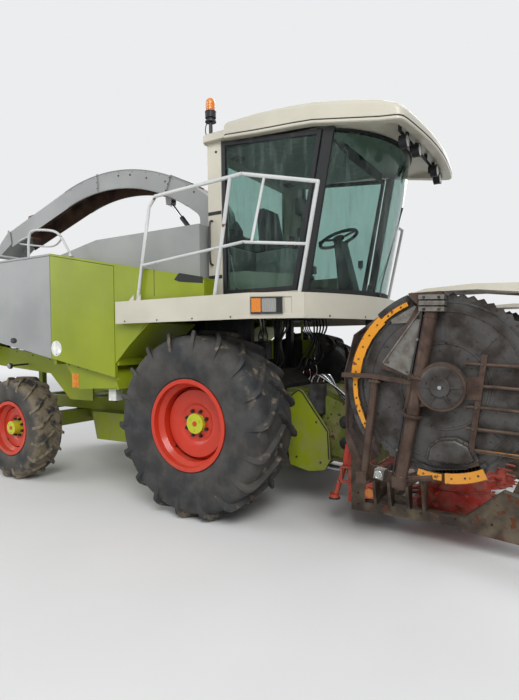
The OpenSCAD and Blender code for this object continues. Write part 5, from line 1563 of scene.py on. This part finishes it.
def console():
    """The arm console with its lever and buttons, and the monitor on its post."""
    form = Form("arm_console").use("grey_plastic")
    form.prism([SEAT + Vector((x, -0.43, z)) for x, z in CONSOLE_SIDE], Vector((0, 0.135, 0)))
    form.use("black").prism([SEAT + Vector((x, -0.424, z)) for x, z in CONSOLE_TOP], Vector((0, 0.123, 0)))
    lever = SEAT + Vector((0.3, -0.362, 0.548))
    form.turn(lever, ((-0.01, 0.034), (0.01, 0.032), (0.022, 0.02), (0.038, 0.016), (0.05, 0.01)), 20, UP)
    form.rod(lever + UP * 0.04, lever + Vector((0.02, 0, 0.13)), 0.008, 12)
    form.turn(lever + Vector((0.02, 0, 0.12)), ((0, 0.016), (0.02, 0.022), (0.06, 0.026), (0.085, 0.022),
                                                  (0.095, 0.012)), 20, Vector((0.12, 0, 1)))
    for i in range(3):
        for k in range(3):
            form.use("red_lens" if (i, k) == (0, 0) else "seal")
            button = SEAT + Vector((-0.09 + 0.055 * i, -0.4 + 0.038 * k, 0.566 + 0.003 * i))
            form.block(button, (-0.016, -0.012, 0), (0.016, 0.012, 0.008))
    # Monitor box by the right front pillar
    post = CABIN + Vector((0.88, -0.76, 0.05))
    form.use("black").rod(post, CABIN + Vector((0.905, -0.78, 0.78)), 0.012, 12)
    screen = CABIN + Vector((0.9, -0.76, 0.85))
    form.block(screen, (-0.035, -0.085, -0.075), (0.025, 0.055, 0.075))
    form.use("glass").block(screen, (-0.038, -0.072, -0.058), (-0.0345, 0.042, 0.058))
    form.done("machine", "black_plastic", 0.004)


def cab_lining():
    """Floor mat, pale panels along the sides, rear lining, headliner, sun blind and pedals."""
    form = Form("cab_lining").use("seal")
    form.block(CABIN, (-0.03, -0.8, 0), (1.0, 0.8, 0.006))
    for k in range(28):
        form.block(CABIN, (0.035 * k, -0.78, 0.004), (0.012 + 0.035 * k, 0.78, 0.009))
    form.use("cream")
    for side in (RIGHT, LEFT):
        form.prism([CABIN + Vector((x, side * 0.835, z)) for x, z in (
            (-0.03, 0.008), (0.86, 0.008), (0.83, 0.23), (0.3, 0.3), (-0.03, 0.3))],
            Vector((0, -side * 0.04, 0)))
    form.block(CABIN, (0.12, 0.52, 0.008), (0.7, 0.78, 0.33))
    form.use("grey_plastic").block(CABIN, (-0.036, -0.7, 0.02), (-0.01, 0.7, 0.59))
    form.block(CABIN, (-0.02, -0.8, 1.52), (1.06, 0.8, 1.545))
    form.use("black")
    for side in (RIGHT, LEFT):
        form.disc(at(0.06, side * 0.56, 3.56), 0.07, 0.01, 32, -UP)
    blind = at(1.23, 0, 3.47)
    form.rod(blind + Vector((0, -0.52, 0)), blind + Vector((0, 0.52, 0)), 0.02)
    form.prism([blind + Vector(p) for p in (
        (0.016, -0.5, -0.005), (0.016, 0.5, -0.005), (0.022, 0.5, -0.12), (0.022, -0.5, -0.12))],
        Vector((0.003, 0, 0)))
    for y in (-0.21, 0.18, 0.3):
        form.prism([CABIN + Vector((x, y - 0.035, z)) for x, z in (
            (1.12, 0.06), (1.16, 0.2), (1.168, 0.196), (1.128, 0.056))], Vector((0, 0.07, 0)))
        form.rod(CABIN + Vector((1.15, y, 0.12)), CABIN + Vector((1.2, y, 0.012)), 0.009, 10)
    form.done("machine", "cream_paint", 0.002)


def steering_trim():
    """Rim grip, hub cap, knob and stalk on the steering wheel."""
    tilt, rim_radius = math.radians(-20), 0.2015
    axis = Vector((math.sin(tilt), 0, math.cos(tilt)))
    centre = CABIN + Vector((0.94, 0, 0.66))
    form = Form("steering_grip").use("black")
    form.torus(centre + axis * 0.013, rim_radius, 0.0165, 64, 12, axis)
    form.turn(centre, ((0.026, 0.058), (0.036, 0.054), (0.044, 0.036), (0.047, 0.012)), 32, axis)
    knob = centre + axis * 0.013 + axis.cross(Vector((0, 1, 0))).normalized() * rim_radius
    form.turn(knob, ((0.014, 0.01), (0.03, 0.01), (0.034, 0.02), (0.06, 0.022), (0.072, 0.012)), 20, axis)
    form.use("seal").pipe([centre - axis * 0.03, centre - axis * 0.04 + Vector((0, 0.1, 0.01)),
                           centre - axis * 0.03 + Vector((0.01, 0.2, 0.03))], 0.007, 8)
    form.done("machine", "black_plastic")


seat()
console()
cab_lining()
steering_trim()


# Camera

CAMERA_PLACE = at(3.093, -5.17, 1.651)
CAMERA_YAW, CAMERA_PITCH, CAMERA_ROLL = (math.radians(v) for v in (31.342, -0.975, -0.75))
FOCAL_PIXELS, LONG_SIDE_PIXELS, SENSOR = 524.25, 700, 36.0


def add_camera():
    flat = Vector((math.cos(CAMERA_YAW), math.sin(CAMERA_YAW), 0))
    look = UP.cross(flat) * math.cos(CAMERA_PITCH) + UP * math.sin(CAMERA_PITCH)
    up = flat.cross(look)
    c, s = math.cos(CAMERA_ROLL), math.sin(CAMERA_ROLL)
    right_hand, up = c * flat + s * up, c * up - s * flat
    data = bpy.data.cameras.new("camera")
    data.sensor_fit = "AUTO"
    data.sensor_width = SENSOR
    data.lens = FOCAL_PIXELS * SENSOR / LONG_SIDE_PIXELS
    data.clip_end = 200
    camera = add_object("camera", data)
    turn = Matrix((right_hand, up, -look)).transposed().to_4x4()
    camera.matrix_world = Matrix.Translation(CAMERA_PLACE) @ turn
    bpy.context.scene.camera = camera


# Studio

FLOOR_TONE, BACKDROP = seen(226, 226, 224), seen(236, 237, 238)
FLOOR_HALF = 60.0
SKY_TONE, SKY_STRENGTH = (0.92, 0.95, 1.0, 1), 0.5
# Name, place, size and power of each lamp
LAMPS = (("key", (7.0, -9.0, 9.0), 6.0, 1020), ("fill", (-9.0, -7.0, 6.0), 7.0, 400),
         ("back", (0.0, 10.0, 9.0), 8.0, 600))
CENTRE = Vector((0, 0, 1.6))


def add_floor():
    mesh = bpy.data.meshes.new("floor")
    mesh.from_pydata([(x, y, 0) for x, y in ((-1, -1), (1, -1), (1, 1), (-1, 1))], [], [(0, 1, 2, 3)])
    mesh.transform(Matrix.Scale(FLOOR_HALF, 4))
    g = Graph("floor", 0.85)
    g.colour(g.mix(g.step(g.noise(0.8, 4), 0.3, 0.7), FLOOR_TONE, darker(FLOOR_TONE, 0.97)))
    far = g.add("ShaderNodeVectorMath", {0: g.place}, operation="LENGTH").outputs["Value"]
    seen_by_camera = g.add("ShaderNodeLightPath").outputs["Is Camera Ray"]
    glow = g.add("ShaderNodeEmission", {"Color": BACKDROP, "Strength": 1.0})
    g.blend(g.math("MULTIPLY", g.step(far, 8.0, 30.0), seen_by_camera), glow)
    mesh.materials.append(g.material)
    add_object("floor", mesh)


def add_world():
    """Even pale light, and the pale backdrop for what the camera, gloss and glass see."""
    world = bpy.data.worlds.new("studio")
    bpy.context.scene.world = world
    world.use_nodes = True
    tree = world.node_tree
    soft = tree.nodes["Background"]
    soft.inputs["Color"].default_value = SKY_TONE
    soft.inputs["Strength"].default_value = SKY_STRENGTH
    pale = tree.nodes.new("ShaderNodeBackground")
    pale.inputs["Color"].default_value = (*BACKDROP, 1)
    rays = tree.nodes.new("ShaderNodeLightPath").outputs
    shown = rays["Is Camera Ray"]
    for kind in ("Is Transmission Ray", "Is Glossy Ray"):
        either = tree.nodes.new("ShaderNodeMath")
        either.operation = "MAXIMUM"
        tree.links.new(shown, either.inputs[0])
        tree.links.new(rays[kind], either.inputs[1])
        shown = either.outputs[0]
    blend = tree.nodes.new("ShaderNodeMixShader")
    for k, source in enumerate((shown, soft.outputs[0], pale.outputs[0])):
        tree.links.new(source, blend.inputs[k])
    tree.links.new(blend.outputs[0], tree.nodes["World Output"].inputs["Surface"])


def add_lamp(name, place, size, power):
    data = bpy.data.lights.new(name, "AREA")
    data.size = size
    data.energy = power
    lamp = add_object(name, data)
    lamp.location = place
    lamp.visible_transmission = False
    lamp.rotation_mode = "QUATERNION"
    lamp.rotation_quaternion = (CENTRE - Vector(place)).to_track_quat("-Z", "Y")


add_camera()
add_world()
add_floor()
for lamp in LAMPS:
    add_lamp(*lamp)
bpy.context.scene.view_settings.view_transform = "Standard"
